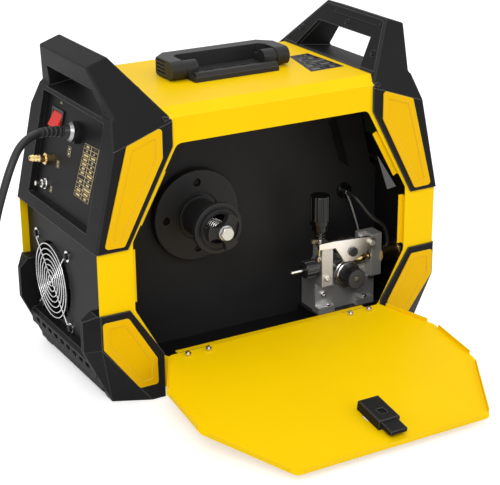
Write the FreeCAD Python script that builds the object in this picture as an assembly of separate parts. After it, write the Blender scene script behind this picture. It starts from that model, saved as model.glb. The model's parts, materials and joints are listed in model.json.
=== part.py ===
import FreeCAD, Part
import math
import os

# Frame: millimetres, +Z up. The pieces are drawn round an origin on the floor under the middle of the case,
# with +X the front with the controls, -X the rear with the mains lead and -Y the side with the door.
# At the end they move in Y, so that the origin lies under the middle of the outline with the door open.

V = FreeCAD.Vector
os.makedirs("parts", exist_ok=True)

# Case sizes
case_length = 490.0
case_width = 247.0
case_top = 367.0
case_base = 12.0
sheet = 1.2
base_sheet = 1.5
roof_chamfer_run = 17.5
roof_chamfer_drop = 10.0
gap = 0.3
seat_gap = 0.2

half_length = case_length / 2
half_width = case_width / 2

# Side outline of the yellow case, as half sizes from the middle
border_top_x = half_length - 102.5
border_knee_z = case_top - 44.0
band_corner_x = half_length - 39.6
band_top = 205.0
band_bottom = 126.0
foot_inner_x = half_length - 83.0
foot_knee_z = 60.0
cover_lap = 8.0
roof_lap = 9.0
lap_end_x = half_length - 7.0

# Door opening: an octagon with round corners
opening_top = case_top - 42.0
opening_bottom = 51.5
opening_top_x = half_length - 109.4
opening_side_x = half_length - 47.0
opening_bottom_x = half_length - 86.7
opening_upper_z = 212.0
opening_lower_z = 124.0
opening_round = 11.0

# Door stops and sill
stop_depth = 6.4
stop_lip = 5.5
stop_upper_from = 231.0
stop_upper_to = 293.0
stop_side_from = 132.0
stop_side_to = 200.0
sill_depth = 12.0
sill_half = half_length - 105.0

# Inner walls
end_panel_x = half_length - 10.0
end_panel_top = 212.0
wall_y = -9.0
wall_top = case_top - 15.0
wall_inset = 26.0
base_flange = 20.0

# Mouldings at the four corners
moulding_proud = 2.5
moulding_half = half_width + moulding_proud
moulding_wall = 3.0
moulding_side_wall = moulding_proud - gap
moulding_edge = 3.0
end_bottom_x = half_length + 2.5
shoulder_x = half_length - 31.5
shoulder_top = case_top - 8.0
grip_foot_x = half_length - 35.0
grip_foot_z = case_top - 5.0
grip_outer_x = half_length - 19.0
grip_outer_z = case_top + 50.0
grip_inner_x = half_length - 47.0
grip_inner_z = case_top + 59.5
inner_foot_x = half_length - 97.0
inner_foot_z = case_top - 3.0
slant_inner_x = half_length - 88.0
slant_inner_z = case_top - 18.0
slant_outer_x = half_length - 42.0
slant_outer_z = case_top - 34.0
slant_top_half = half_width - 53.5
post_screw_y = half_width - 36.5

# Hand window through each upright handle
window_low_half = half_width - 43.5
window_high_half = half_width - 61.0
window_low_z = case_top - 1.0
window_high_z = case_top + 36.0
grip_depth = 30.5
grip_screw_down = 21.0
shell_thickness = 6.0
shell_margin = 4.0

# Sloping end frame and its recessed panel
frame_open_half = half_width - 31.5
frame_open_low = 221.0
frame_open_high = case_top - 14.0
panel_recess = 8.0
panel_thickness = 2.0
panel_margin = 6.0
rim_wall = 2.5

# Lower corner mouldings
prow_x = half_length + 15.4
prow_half = half_width - 18.5
prow_top = 115.0
prow_low = 74.0
foot_outer_x = half_length - 19.5
side_low_z = 82.0
side_foot_x = half_length - 48.0
side_foot_z = 21.0
prow_inner_front = half_width - 25.5
prow_inner_back = half_width - 22.5
pad_inner = half_width - 35.5
pad_floor = 2.5
bar_bottom = 35.0
bar_top = 56.0
bar_front_x = half_length + 2.0
bar_slots = 9

# Yellow corner inserts
insert_thickness = 1.6
insert_step = 1.0
insert_margin = 8.0
insert_round = 4.0
insert_clear = 5.0
insert_end = 11.1

# Wire spool hub
hub_x = -57.0
hub_z = 188.0
hub_flange_radius = 61.5
hub_flange_thick = 12.0
spindle_radius = 25.0
spindle_bore = 19.5
spindle_length = 57.0
spindle_floor = 22.0
brake_radius = 9.4
brake_wire = 1.1
brake_turns = 9
hub_rim_radius = 34.0
hub_rim_length = 8.0
hub_notches = 3
hub_screw_circle = 45.0
lock_thick = 9.0
lock_stand = 8.0
lock_radius = 24.0
lock_arms = 3
lock_notch_radius = 16.0
lock_notch_out = 26.5
lock_angle = 55.0
lock_boss = 7.0
bolt_across = 9.4

# Wire drive
wire_y = -60.0
wire_z = 96.0
wire_gap = 1.2
drive_x = 150.0
drive_radius = 18.5
press_radius = 17.0
feeder_left = 105.0
feeder_right = 201.0
feeder_low = 26.0
feeder_face_y = -52.0
feeder_plate = 7.0
feeder_low_top = 77.0
post_left_width = 17.0
post_right_width = 16.0
post_left_top = 128.0
post_right_top = 130.0
gearbox_back = -12.0
motor_radius = 25.0
motor_length = 88.0
arm_pivot_x = 180.0
arm_pivot_z = 122.0
arm_y = -71.5
arm_thick = 5.0
tension_x = 106.0
tension_pivot_z = 108.0
rod_radius = 3.0
knob_low = 158.0
knob_high = 199.0
knob_radius = 13.5
skirt_radius = 10.6
skirt_wall = 2.2
skirt_length = 9.0

# Cooling fan
fan_y = 41.0
fan_z = 113.5
fan_size = 112.0
fan_depth = 38.0
fan_bore = 53.0
fan_hole_half = 49.3
guard_rings = 7
guard_pitch = 7.0
guard_first = 7.2
guard_wire = 0.9
guard_eye = 7.4
guard_foot = 6.2

# Folding carry handle on the roof
bail_y = -5.0
bail_z = case_top + 13.0
bail_arm_in = 67.0
bail_arm_out = 85.0
bail_reach = 52.0
bail_bar = 22.0
bail_radius = 11.8
bail_base_half = 61.0
bail_pin_radius = 5.0

# Door
door_gap = 1.5
door_angle = 99.0
door_flange = 5.0
hinge_axis_out = 3.0
hinge_x = 120.5
hinge_half = 20.0
hinge_pin_radius = 1.5
hinge_knuckle_radius = 3.0
hinge_leaf_height = 17.0
hinge_leaf = 1.5
latch_half = 14.5
latch_travel = 7.0

# Mains lead
cord_radius = 5.0
gland_y = -8.0
gland_z = 321.0

# M5 pan head screw
screw_head_radius = 4.4
screw_head_height = 3.2
screw_shank_radius = 2.4
screw_length = 11.0
feeder_screw_length = 8.0


def polygon(points):
    """A closed planar face from a list of vectors."""
    return Part.Face(Part.makePolygon(list(points) + [points[0]]))


def prism_xz(points, y0, y1):
    """A polygon given as (x, z), carried from y0 to y1."""
    face = polygon([V(x, y0, z) for x, z in points])
    return face.extrude(V(0, y1 - y0, 0))


def prism_yz(points, x0, x1):
    """A polygon given as (y, z), carried from x0 to x1."""
    face = polygon([V(x0, y, z) for y, z in points])
    return face.extrude(V(x1 - x0, 0, 0))


def prism_xy(points, z0, z1):
    """A polygon given as (x, y), carried from z0 to z1."""
    face = polygon([V(x, y, z0) for x, y in points])
    return face.extrude(V(0, 0, z1 - z0))


def box(x0, x1, y0, y1, z0, z1):
    return Part.makeBox(x1 - x0, y1 - y0, z1 - z0, V(x0, y0, z0))


def rod(start, end, radius):
    """A round bar from start to end."""
    axis = end.sub(start)
    return Part.makeCylinder(radius, axis.Length, start, axis)


def tube(start, end, outer, inner):
    return rod(start, end, outer).cut(rod(start, end, inner))


def mirror_x(shape):
    return shape.mirror(V(0, 0, 0), V(1, 0, 0))


def mirror_y(shape):
    return shape.mirror(V(0, 0, 0), V(0, 1, 0))


def fuse_all(shapes):
    joined = shapes[0]
    for shape in shapes[1:]:
        joined = joined.fuse(shape)
    return joined.removeSplitter()


def inset(points, distance):
    """Moves every side of a closed polygon inwards by distance."""
    count = len(points)
    area = sum(points[i][0] * points[(i + 1) % count][1] - points[(i + 1) % count][0] * points[i][1]
               for i in range(count))
    turn = 1.0 if area > 0 else -1.0
    sides = []
    for i in range(count):
        (x0, z0), (x1, z1) = points[i], points[(i + 1) % count]
        length = math.hypot(x1 - x0, z1 - z0)
        nx = -(z1 - z0) / length * turn
        nz = (x1 - x0) / length * turn
        sides.append((x0 + nx * distance, z0 + nz * distance, x1 - x0, z1 - z0))
    moved = []
    for i in range(count):
        ax, az, adx, adz = sides[i - 1]
        bx, bz, bdx, bdz = sides[i]
        cross = adx * bdz - adz * bdx
        t = ((bx - ax) * bdz - (bz - az) * bdx) / cross
        moved.append((ax + adx * t, az + adz * t))
    return moved


def rounded(points, radius):
    """A closed wire in the XZ plane at y = 0 whose corners are arcs of one radius."""
    count = len(points)
    edges = []
    ends = []
    for i in range(count):
        before = V(points[i - 1][0], 0, points[i - 1][1])
        corner = V(points[i][0], 0, points[i][1])
        after = V(points[(i + 1) % count][0], 0, points[(i + 1) % count][1])
        back = before.sub(corner).normalize()
        on = after.sub(corner).normalize()
        half = back.getAngle(on) / 2
        reach = radius / math.tan(half)
        first = corner.add(back * reach)
        last = corner.add(on * reach)
        middle_dir = back.add(on).normalize()
        centre = corner.add(middle_dir * (radius / math.sin(half)))
        middle = centre.sub(middle_dir * radius)
        ends.append((first, middle, last))
    for i in range(count):
        first, middle, last = ends[i]
        edges.append(Part.Arc(first, middle, last).toShape())
        edges.append(Part.LineSegment(last, ends[(i + 1) % count][0]).toShape())
    return Part.Wire(edges)


def rounded_prism(points, radius, y0, y1):
    face = Part.Face(rounded(points, radius))
    face.translate(V(0, y0, 0))
    return face.extrude(V(0, y1 - y0, 0))


def cut_beyond(shape, a, b, c, inside):
    """Cuts away what lies beyond the plane through a, b and c, on the side away from inside."""
    normal = b.sub(a).cross(c.sub(a)).normalize()
    if inside.sub(a).dot(normal) > 0:
        normal = normal * -1
    size = 2000.0
    block = Part.makeBox(size, size, size, V(-size / 2, -size / 2, 0))
    block.Placement = FreeCAD.Placement(a, FreeCAD.Rotation(V(0, 0, 1), normal))
    return shape.cut(block)


def symmetric(points):
    """Adds the mirror image in x to a list of (x, z) points, to close an outline."""
    return points + [(-x, z) for x, z in reversed(points)]


def border_x(z):
    """The slanted edge between the upper moulding and the yellow side."""
    share = (border_knee_z - z) / (border_knee_z - band_top)
    return border_top_x + share * (band_corner_x - border_top_x)


def lower_border_x(z):
    """The slanted edge between the lower moulding and the yellow side."""
    share = (z - foot_knee_z) / (band_bottom - foot_knee_z)
    return foot_inner_x + share * (band_corner_x - foot_inner_x)


def opening_outline(clear):
    """The door opening, drawn in by clear on every side."""
    points = symmetric([
        (opening_top_x, opening_top),
        (opening_side_x, opening_upper_z),
        (opening_side_x, opening_lower_z),
        (opening_bottom_x, opening_bottom)])
    return inset(points, clear)


# Yellow case: one folded sheet over the sides and the roof

def cover_section(clear):
    """Outer section of the folded case in YZ, grown by clear."""
    side = half_width + clear
    top = case_top + clear
    knee = case_top - roof_chamfer_drop + clear * 0.6
    flat = half_width - roof_chamfer_run + clear * 0.3
    return [(-side, case_base), (-side, knee), (-flat, top), (flat, top), (side, knee), (side, case_base)]


def cover_profile():
    """Side outline of the sheet, which runs a lap under the mouldings."""
    slant = cover_lap * 1.14
    top_x = border_top_x + cover_lap
    upper_knee = border_knee_z - (cover_lap - slant) * (border_knee_z - band_top) / (band_corner_x - border_top_x)
    low_x = foot_inner_x + cover_lap
    return symmetric([
        (border_top_x + roof_lap, case_top + 20),
        (border_top_x + roof_lap, case_top - roof_chamfer_drop - 1),
        (top_x, case_top - roof_chamfer_drop - 1),
        (top_x, upper_knee),
        (border_x(band_top + cover_lap) + slant, band_top + cover_lap),
        (lap_end_x, band_top + cover_lap),
        (lap_end_x, band_top),
        (half_length, band_top),
        (half_length, band_bottom),
        (lap_end_x, band_bottom),
        (lap_end_x, band_bottom - cover_lap),
        (lower_border_x(band_bottom - cover_lap) + slant * 1.1, band_bottom - cover_lap),
        (low_x, foot_knee_z - cover_lap * 0.5),
        (low_x, case_base - 5)])


def louvre_slots():
    """Cooling slots in the closed side, with round ends, in two banks."""
    slots = []
    slot_half = 30.0
    slot_radius = 2.2
    pitch = 13.0
    for bank in (-1, 1):
        for row in range(7):
            x = bank * 62.0
            z = 110.0 + row * pitch
            y0 = half_width - 3
            y1 = half_width + 3
            bar = box(x - slot_half, x + slot_half, y0, y1, z - slot_radius, z + slot_radius)
            for end in (-1, 1):
                cap = rod(V(x + end * slot_half, y0, z), V(x + end * slot_half, y1, z), slot_radius)
                bar = bar.fuse(cap)
            slots.append(bar)
    return slots


def stop_strip(x0, z0, x1, z1):
    """A folded door stop along one edge of the opening: a return and a lip that looks into the opening."""
    along = V(x1 - x0, 0, z1 - z0).normalize()
    inward = V(-along.z, 0, along.x)
    if inward.x > 0:
        inward = inward * -1
    face_y = -half_width + sheet
    lip_y = -half_width + stop_depth
    a = V(x0, 0, z0)
    b = V(x1, 0, z1)

    def slab(from_edge, to_edge, y0, y1):
        corners = [a + inward * from_edge, b + inward * from_edge, b + inward * to_edge, a + inward * to_edge]
        return prism_xz([(p.x, p.z) for p in corners], y0, y1)

    web = slab(-sheet, 0.0, face_y, lip_y + sheet)
    lip = slab(-sheet, stop_lip, lip_y, lip_y + sheet)
    return web.fuse(lip)


def opening_edge_x(z):
    share = (opening_top - z) / (opening_top - opening_upper_z)
    return opening_top_x + share * (opening_side_x - opening_top_x)


def make_outer_cover():
    outer = prism_yz(cover_section(0.0), -half_length, half_length)
    inner = cover_section(-sheet)
    inner[0] = (inner[0][0], case_base - 5)
    inner[5] = (inner[5][0], case_base - 5)
    shell = outer.cut(prism_yz(inner, -half_length - 1, half_length + 1))
    shell = shell.common(prism_xz(cover_profile(), -half_width - 2, half_width + 2))
    opening = rounded_prism(opening_outline(0.0), opening_round, -half_width - 3, -half_width + 3)
    shell = shell.cut(opening)
    for slot in louvre_slots():
        shell = shell.cut(slot)
    pieces = [shell]
    right = [
        stop_strip(opening_edge_x(stop_upper_to), stop_upper_to, opening_edge_x(stop_upper_from),
                   stop_upper_from),
        stop_strip(opening_side_x, stop_side_to, opening_side_x, stop_side_from)]
    for strip in right:
        pieces.append(strip)
        pieces.append(mirror_x(strip))
    sill = box(-sill_half, sill_half, -half_width + sheet, -half_width + sill_depth,
               opening_bottom - sheet, opening_bottom)
    pieces.append(sill)
    return fuse_all(pieces)


# Inner chassis

pan_half_x = end_panel_x - sheet - gap
pan_half_y = half_width - sheet - gap


# The two sloping facets under each lower corner

foot_inside = V(end_panel_x, -prow_half, foot_knee_z)
facet_knee = V(half_length, -moulding_half, side_low_z)
facet_toe = V(side_foot_x, -moulding_half, side_foot_z)
facet_prow = V(prow_x, -prow_half, prow_low)
facet_floor = V(foot_outer_x, -prow_half, 0)


def cut_facets(shape, distance, side_x, side_y):
    """Cuts off what lies beyond a corner's two facets, both moved inwards by distance."""
    def flip(p):
        return V(p.x * side_x, p.y * side_y, p.z)

    for a, b, c in ((facet_prow, facet_knee, facet_floor), (facet_knee, facet_toe, facet_floor)):
        normal = b.sub(a).cross(c.sub(a)).normalize()
        if foot_inside.sub(a).dot(normal) < 0:
            normal = normal * -1
        move = normal * distance
        shape = cut_beyond(shape, flip(a + move), flip(b + move), flip(c + move), flip(foot_inside))
    return shape


def cut_corners(shape):
    """Chamfers the bottom corners of a panel, so that it stays inside the four feet."""
    for side_x in (-1, 1):
        for side_y in (-1, 1):
            shape = cut_facets(shape, moulding_wall + gap, side_x, side_y)
    return shape


def make_base_pan():
    """Folded tray that carries everything inside."""
    outer = box(-pan_half_x, pan_half_x, -pan_half_y, pan_half_y, case_base, case_base + base_flange)
    inner = box(-pan_half_x + base_sheet, pan_half_x - base_sheet, -pan_half_y + base_sheet,
                pan_half_y - base_sheet, case_base + base_sheet, case_base + base_flange + 1)
    return cut_corners(outer.cut(inner))


floor_top = case_base + base_sheet
wall_half_x = end_panel_x - sheet - seat_gap


def make_partition():
    """Upright wall between the wire bay and the power side, with a foot flange."""
    outline = symmetric([
        (end_plane_x(wall_top, wall_inset), wall_top),
        (end_plane_x(end_panel_top, wall_inset), end_panel_top),
        (wall_half_x - 4, end_panel_top - 8),
        (wall_half_x - 4, floor_top + seat_gap)])
    wall = prism_xz(outline, wall_y, wall_y + base_sheet)
    fan_room = fan_size / 2 + 2
    wall = wall.cut(box(-end_panel_x - 1, -end_panel_x + fan_depth + 5, wall_y - 1, wall_y + 5,
                        fan_z - fan_room, fan_z + fan_room))
    foot = box(-wall_half_x + 4, wall_half_x - 4, wall_y, wall_y + 14, floor_top + seat_gap,
               floor_top + seat_gap + base_sheet)
    wall = wall.fuse(foot)
    centre = V(hub_x, wall_y - 1, hub_z)
    for angle in (0, 90, 180, 270):
        spot = centre + V(math.cos(math.radians(angle)), 0, math.sin(math.radians(angle))) * hub_screw_circle
        wall = wall.cut(rod(spot, spot + V(0, 5, 0), screw_shank_radius + gap))
    wall = wall.cut(rod(V(drive_x, wall_y - 1, motor_z), V(drive_x, wall_y + 5, motor_z), motor_radius + 1))
    wall = wall.cut(rod(V(valve_x, wall_y - 1, valve_z), V(valve_x, wall_y + 5, valve_z), valve_nipple + gap))
    return wall.removeSplitter()


motor_z = wire_z - drive_radius
valve_x = 176.0
valve_z = 178.0
valve_nipple = 8.0

socket_ys = (10.0, 60.0)
socket_z = 92.0
socket_radius = 15.0
euro_radius = 17.0


def make_rear_panel():
    """Flat rear sheet with the fan's round opening and its screw holes."""
    panel = box(-end_panel_x, -end_panel_x + sheet, -pan_half_y, pan_half_y, floor_top, end_panel_top)
    centre = V(-end_panel_x - 1, fan_y, fan_z)
    panel = panel.cut(rod(centre, centre + V(4, 0, 0), fan_bore - 1))
    for sy in (-1, 1):
        for sz in (-1, 1):
            spot = centre + V(0, sy * fan_hole_half, sz * fan_hole_half)
            panel = panel.cut(rod(spot, spot + V(4, 0, 0), screw_shank_radius + gap))
    return cut_corners(panel)


def make_front_panel():
    """Flat front sheet with the torch connector's hole and two current socket holes."""
    panel = box(end_panel_x - sheet, end_panel_x, -pan_half_y, pan_half_y, floor_top, end_panel_top)
    spot = V(end_panel_x - 3, wire_y, wire_z)
    panel = panel.cut(rod(spot, spot + V(6, 0, 0), euro_radius + gap))
    for y in socket_ys:
        spot = V(end_panel_x - 3, y, socket_z)
        panel = panel.cut(rod(spot, spot + V(6, 0, 0), socket_radius + gap))
    return cut_corners(panel)


# Upper corner mouldings with their upright handles

def upper_profile():
    return [
        (border_top_x, border_knee_z),
        (band_corner_x, band_top),
        (end_bottom_x, band_top),
        (shoulder_x, shoulder_top),
        (grip_foot_x, grip_foot_z),
        (grip_outer_x, grip_outer_z),
        (grip_inner_x, grip_inner_z),
        (inner_foot_x, inner_foot_z),
        (border_top_x, case_top - roof_chamfer_drop)]


slant_low_a = V(slant_inner_x, -moulding_half, slant_inner_z)
slant_low_b = V(slant_outer_x, -moulding_half, slant_outer_z)
slant_high = V(grip_inner_x, -slant_top_half, grip_inner_z)
inside_point = V(shoulder_x, 0.0, frame_open_low)


def slant_shift(distance):
    """The slanted side plane of the handle, moved inwards by distance."""
    normal = slant_low_b.sub(slant_low_a).cross(slant_high.sub(slant_low_a)).normalize()
    if inside_point.sub(slant_low_a).dot(normal) < 0:
        normal = normal * -1
    move = normal * distance
    return slant_low_a + move, slant_low_b + move, slant_high + move


def trim_sides(shape, distance):
    a, b, c = slant_shift(distance)
    shape = cut_beyond(shape, a, b, c, inside_point)

    def flip(p):
        return V(p.x, -p.y, p.z)

    return cut_beyond(shape, flip(a), flip(b), flip(c), inside_point)


def upper_window(grow):
    """The hand window: a prism that slopes with the grip, narrower at its top."""
    slope = (grip_outer_z - grip_inner_z) / (grip_outer_x - grip_inner_x)
    top_z = grip_outer_z - grip_depth
    low_x = 130.0
    high_x = 245.0
    profile = [
        (low_x, window_low_z + 5 - grow),
        (high_x, window_low_z - 12 - grow),
        (high_x, top_z + slope * (high_x - grip_outer_x) + grow),
        (low_x, top_z + slope * (low_x - grip_outer_x) + grow)]
    body = prism_xz(profile, -130, 130)
    lean = (window_low_half - window_high_half) / (window_high_z - window_low_z)
    low = window_low_half + lean * 40 + grow
    high = window_high_half - lean * 60 + grow
    wedge = prism_yz([(-low, window_low_z - 40), (low, window_low_z - 40), (high, window_high_z + 60),
                      (-high, window_high_z + 60)], low_x, high_x)
    return body.common(wedge)


def end_plane_x(z, depth):
    """Where the sloping end face is at height z, moved inwards by depth."""
    slope = (end_bottom_x - shoulder_x) / (band_top - shoulder_top)
    return end_bottom_x + slope * (z - band_top) - depth * math.sqrt(1 + slope * slope)


def end_slab(y_half, z_low, z_high, depth0, depth1):
    """A slab parallel to the sloping end face, between two depths behind it."""
    return prism_xz([
        (end_plane_x(z_low, depth0), z_low),
        (end_plane_x(z_high, depth0), z_high),
        (end_plane_x(z_high, depth1), z_high),
        (end_plane_x(z_low, depth1), z_low)], -y_half, y_half)


def shell_zone(clear):
    """The slab behind the handle's inner face that the inner shell fills."""
    foot = V(inner_foot_x, 0, inner_foot_z)
    top = V(grip_inner_x, 0, grip_inner_z)
    along = top.sub(foot).normalize()
    inward = V(along.z, 0, -along.x)
    start = foot + along * (shell_margin + 4 - clear)
    end = top - along * (shell_margin - clear)
    thick = shell_thickness + clear
    corners = [start - inward * 5, end - inward * 5, end + inward * thick, start + inward * thick]
    return prism_xz([(p.x, p.z) for p in corners], -half_width, half_width)


def handle_screw_spots():
    """Three screws hold each inner shell: one in the grip and one in each post."""
    foot = V(inner_foot_x, 0, inner_foot_z)
    top = V(grip_inner_x, 0, grip_inner_z)
    along = top.sub(foot).normalize()
    inward = V(along.z, 0, -along.x)
    grip = top - along * grip_screw_down
    post = foot + along * 31.0
    return [grip, post + V(0, post_screw_y, 0), post + V(0, -post_screw_y, 0)], inward


screw_sink = 2.0
boss_reach = 17.0


def boss_web(spot, inward):
    """A rib that ties a post's screw boss to the wall of the hand window."""
    side = 1 if spot.y > 0 else -1
    along = V(-inward.z, 0, inward.x)
    near = spot + inward * (shell_thickness + seat_gap)
    far = spot + inward * boss_reach
    y0 = side * (window_high_half + 8.5)
    corners = [near - along * 2, near + along * 2, far + along * 2, far - along * 2]
    return prism_xz([(p.x, p.z) for p in corners], min(y0, spot.y), max(y0, spot.y))


def make_upper_moulding():
    """Front upper moulding: side wings, sloping end frame and upright handle, as one thin-walled shell."""
    body = trim_sides(prism_xz(upper_profile(), -moulding_half, moulding_half), 0.0)
    end_edges = [e for e in body.Edges if e.BoundBox.XMin > border_top_x + 1
                 and e.BoundBox.ZMax > band_top + 2
                 and e.BoundBox.ZMin > band_top - 1
                 and e.BoundBox.XMax > band_corner_x + 1]
    grip_edges = [e for e in body.Edges if e.BoundBox.ZMin > inner_foot_z - 1
                  and e.BoundBox.ZMax > inner_foot_z + 1
                  and e.BoundBox.XMax < band_corner_x]
    body = body.makeFillet(moulding_edge, end_edges + grip_edges)
    open_profile = upper_profile()
    open_profile[0] = (border_top_x - 60, border_knee_z)
    open_profile[1] = (band_corner_x - 60, band_top - 30)
    open_profile[2] = (end_plane_x(band_top - 30, 0.0), band_top - 30)
    open_profile[8] = (border_top_x - 60, inner_foot_z)
    hollow = prism_xz(inset(open_profile, moulding_wall), -moulding_half + moulding_side_wall,
                      moulding_half - moulding_side_wall)
    hollow = trim_sides(hollow, moulding_wall)
    hollow = hollow.cut(upper_window(moulding_wall))
    body = body.cut(hollow)
    body = body.cut(upper_window(0.0))
    case_clear = prism_yz(cover_section(gap), -half_length, border_top_x + roof_lap + gap)
    body = body.cut(case_clear)
    frame_hole = end_slab(frame_open_half, frame_open_low, frame_open_high, -10, 20)
    rim = end_slab(frame_open_half + rim_wall, frame_open_low - rim_wall, frame_open_high + rim_wall,
                   moulding_wall - 0.5, panel_recess)
    body = body.fuse(rim).cut(frame_hole)
    inner = trim_sides(shell_zone(seat_gap), shell_margin)
    body = body.cut(inner)
    spots, inward = handle_screw_spots()
    for spot in spots:
        boss = rod(spot + inward * (shell_thickness + seat_gap), spot + inward * boss_reach, 5.0)
        if spot.y:
            boss = boss.fuse(boss_web(spot, inward))
        body = body.fuse(boss.cut(upper_window(0.0)))
        body = body.cut(rod(spot, spot + inward * 14.5, screw_shank_radius + 0.1))
    return body.removeSplitter()


def make_handle_shell():
    """Inner shell that closes the handle towards the roof, with sunk screw seats."""
    limit = trim_sides(prism_xz(upper_profile(), -moulding_half, moulding_half), shell_margin + seat_gap)
    shell = shell_zone(0.0).common(limit)
    shell = shell.cut(upper_window(0.0))
    shell = shell.cut(prism_yz(cover_section(gap), -half_length, half_length))
    spots, inward = handle_screw_spots()
    for spot in spots:
        shell = shell.cut(rod(spot - inward * 8, spot + inward * screw_sink, screw_head_radius + 0.6))
        shell = shell.cut(rod(spot, spot + inward * 12, screw_shank_radius + 0.2))
    return shell


def screw(spot, direction, length):
    """Pan head screw whose head sits with its underside on spot; direction points into the work."""
    direction = V(direction).normalize()
    head = rod(spot - direction * screw_head_height, spot, screw_head_radius)
    rim = [e for e in head.Edges if abs((e.CenterOfMass - (spot - direction * screw_head_height)).Length) < 0.01]
    head = head.makeFillet(1.2, rim)
    recess = box(-0.6, 0.6, -2.6, 2.6, 0, 1.6).fuse(box(-2.6, 2.6, -0.6, 0.6, 0, 1.6))
    recess.Placement = FreeCAD.Placement(spot - direction * (screw_head_height + 0.1),
                                         FreeCAD.Rotation(V(0, 0, 1), direction))
    shank = rod(spot, spot + direction * length, screw_shank_radius)
    return head.cut(recess).fuse(shank)


# Panels in the sloping end frames

def make_end_plate(holes):
    """Plate behind the sloping frame, with round holes given as (y, z, radius)."""
    plate = end_slab(frame_open_half + panel_margin, frame_open_low - panel_margin,
                     frame_open_high + panel_margin - 3, panel_recess + seat_gap,
                     panel_recess + seat_gap + panel_thickness)
    for y, z, radius in holes:
        spot = end_spot(y, z, 0.0)
        plate = plate.cut(rod(spot - end_normal() * 4, spot + end_normal() * 4, radius))
    return plate


def end_normal():
    """Outward normal of the sloping end face."""
    slope = (end_bottom_x - shoulder_x) / (band_top - shoulder_top)
    return V(1, 0, -slope).normalize()


def end_spot(y, z, out):
    """A point on the recessed plate's face, moved outwards by out."""
    return V(end_plane_x(z, panel_recess + seat_gap), y, z) + end_normal() * out


# Lower corner mouldings with the feet and the bar between them

def lower_profile():
    return [
        (band_corner_x, band_bottom),
        (end_bottom_x, band_bottom),
        (prow_x, prow_top),
        (prow_x, prow_low),
        (foot_outer_x, 0.0),
        (foot_inner_x, 0.0),
        (foot_inner_x, foot_knee_z)]


def near_foot():
    """One foot at +X and -Y: a chamfered prow with two sloping facets under it."""
    foot = prism_xz(lower_profile(), -moulding_half, -pad_inner)
    prow_a = V(half_length, -moulding_half, prow_low)
    prow_b = V(prow_x, -prow_half, prow_low)
    foot = cut_beyond(foot, prow_a, prow_b, prow_a + V(0, 0, 50), foot_inside)
    foot = cut_facets(foot, 0.0, 1, 1)
    front_x = prow_x + 1
    inner = [(end_panel_x + gap, -prow_inner_back), (front_x, -prow_inner_front),
             (front_x, -pad_inner + 1), (end_panel_x + gap, -pad_inner + 1)]
    return foot.cut(prism_xy(inner, case_base - gap, prow_top + 20))


def make_lower_moulding():
    """Front lower moulding: two feet that wrap the case corners, joined by a slotted bar."""
    foot = near_foot()
    inner_end = foot_inner_x - cover_lap
    case_block = box(inner_end, end_panel_x + gap, -half_width - gap, 0, case_base - gap, band_top)
    strip_block = box(inner_end, half_length + 0.5, -half_width - gap, -half_width + sheet + gap,
                      band_bottom - cover_lap - gap, band_top)
    case_block = cut_facets(case_block, moulding_wall, 1, 1)
    foot = foot.cut(case_block).cut(strip_block)
    pad_hollow = box(foot_inner_x + 4, foot_outer_x - 18, -moulding_half + 14, -pad_inner - 4,
                     pad_floor, case_base)
    foot = foot.cut(pad_hollow)
    end = prow_inner_back + 1
    bar = prism_xz([(end_panel_x + gap, bar_top), (bar_front_x - 4, bar_top), (bar_front_x, bar_top - 5),
                    (bar_front_x - 2, bar_bottom), (end_panel_x + gap, bar_bottom)], -end, end)
    pitch = 2 * (prow_inner_front - 8) / bar_slots
    for i in range(bar_slots):
        y = -prow_inner_front + 8 + pitch * (i + 0.5)
        slot = box(bar_front_x - 6, bar_front_x + 2, y - pitch * 0.32, y + pitch * 0.32, bar_bottom + 6,
                   bar_top - 8)
        bar = bar.cut(slot)
    return fuse_all([foot, mirror_y(foot), bar])


# Yellow corner inserts

def upper_insert_outline():
    low = band_top + insert_clear
    return [(slant_inner_x, slant_inner_z), (slant_outer_x, slant_outer_z - 0.5),
            (end_bottom_x - insert_end, low + 0.8), (band_corner_x + insert_clear, low),
            (slant_inner_x, border_knee_z - 2.3 * insert_clear)]


def lower_insert_outline():
    outer = half_length - 2.0
    high = band_bottom - 8.8
    return [(band_corner_x + 3.5, high), (outer, high), (outer, side_low_z + 0.5), (side_foot_x, side_foot_z),
            (foot_inner_x + 9.7, side_foot_z), (foot_inner_x + 10.2, foot_knee_z - 4.0)]


def make_insert(outline):
    """A raised rim round a recessed field, seated on the moulding's side."""
    y_face = -moulding_half - insert_thickness
    y_back = -moulding_half - 0.02
    plate = rounded_prism(outline, insert_round, y_face, y_back)
    field = rounded_prism(inset(outline, insert_margin), insert_round * 0.6, y_face - 1, y_face + insert_step)
    return plate.cut(field)


def make_corner_inserts():
    pieces = []
    for outline in (upper_insert_outline(), lower_insert_outline()):
        piece = make_insert(outline)
        pieces += [piece, mirror_x(piece), mirror_y(piece), mirror_x(mirror_y(piece))]
    return Part.makeCompound(pieces)


# Rear fittings

def make_switch_body():
    """Frame of the mains rocker switch, snapped into the rear plate."""
    n = end_normal()
    spot = end_spot(switch_y, switch_z, 0.0)
    outer = tilted_box(spot, switch_half, 12.5, -18.0, 2.0)
    flange = tilted_box(spot, switch_half + 2, 14.5, 0.05, 2.0)
    cavity = tilted_box(spot, switch_half - 2, 10.6, -14.0, 5.0)
    body = outer.fuse(flange).cut(cavity)
    pin = rod(spot + V(0, 1 - switch_half, 0) - n * 2.0, spot + V(0, switch_half - 1, 0) - n * 2.0, 1.5)
    return body.fuse(pin.common(outer)).removeSplitter()


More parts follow.
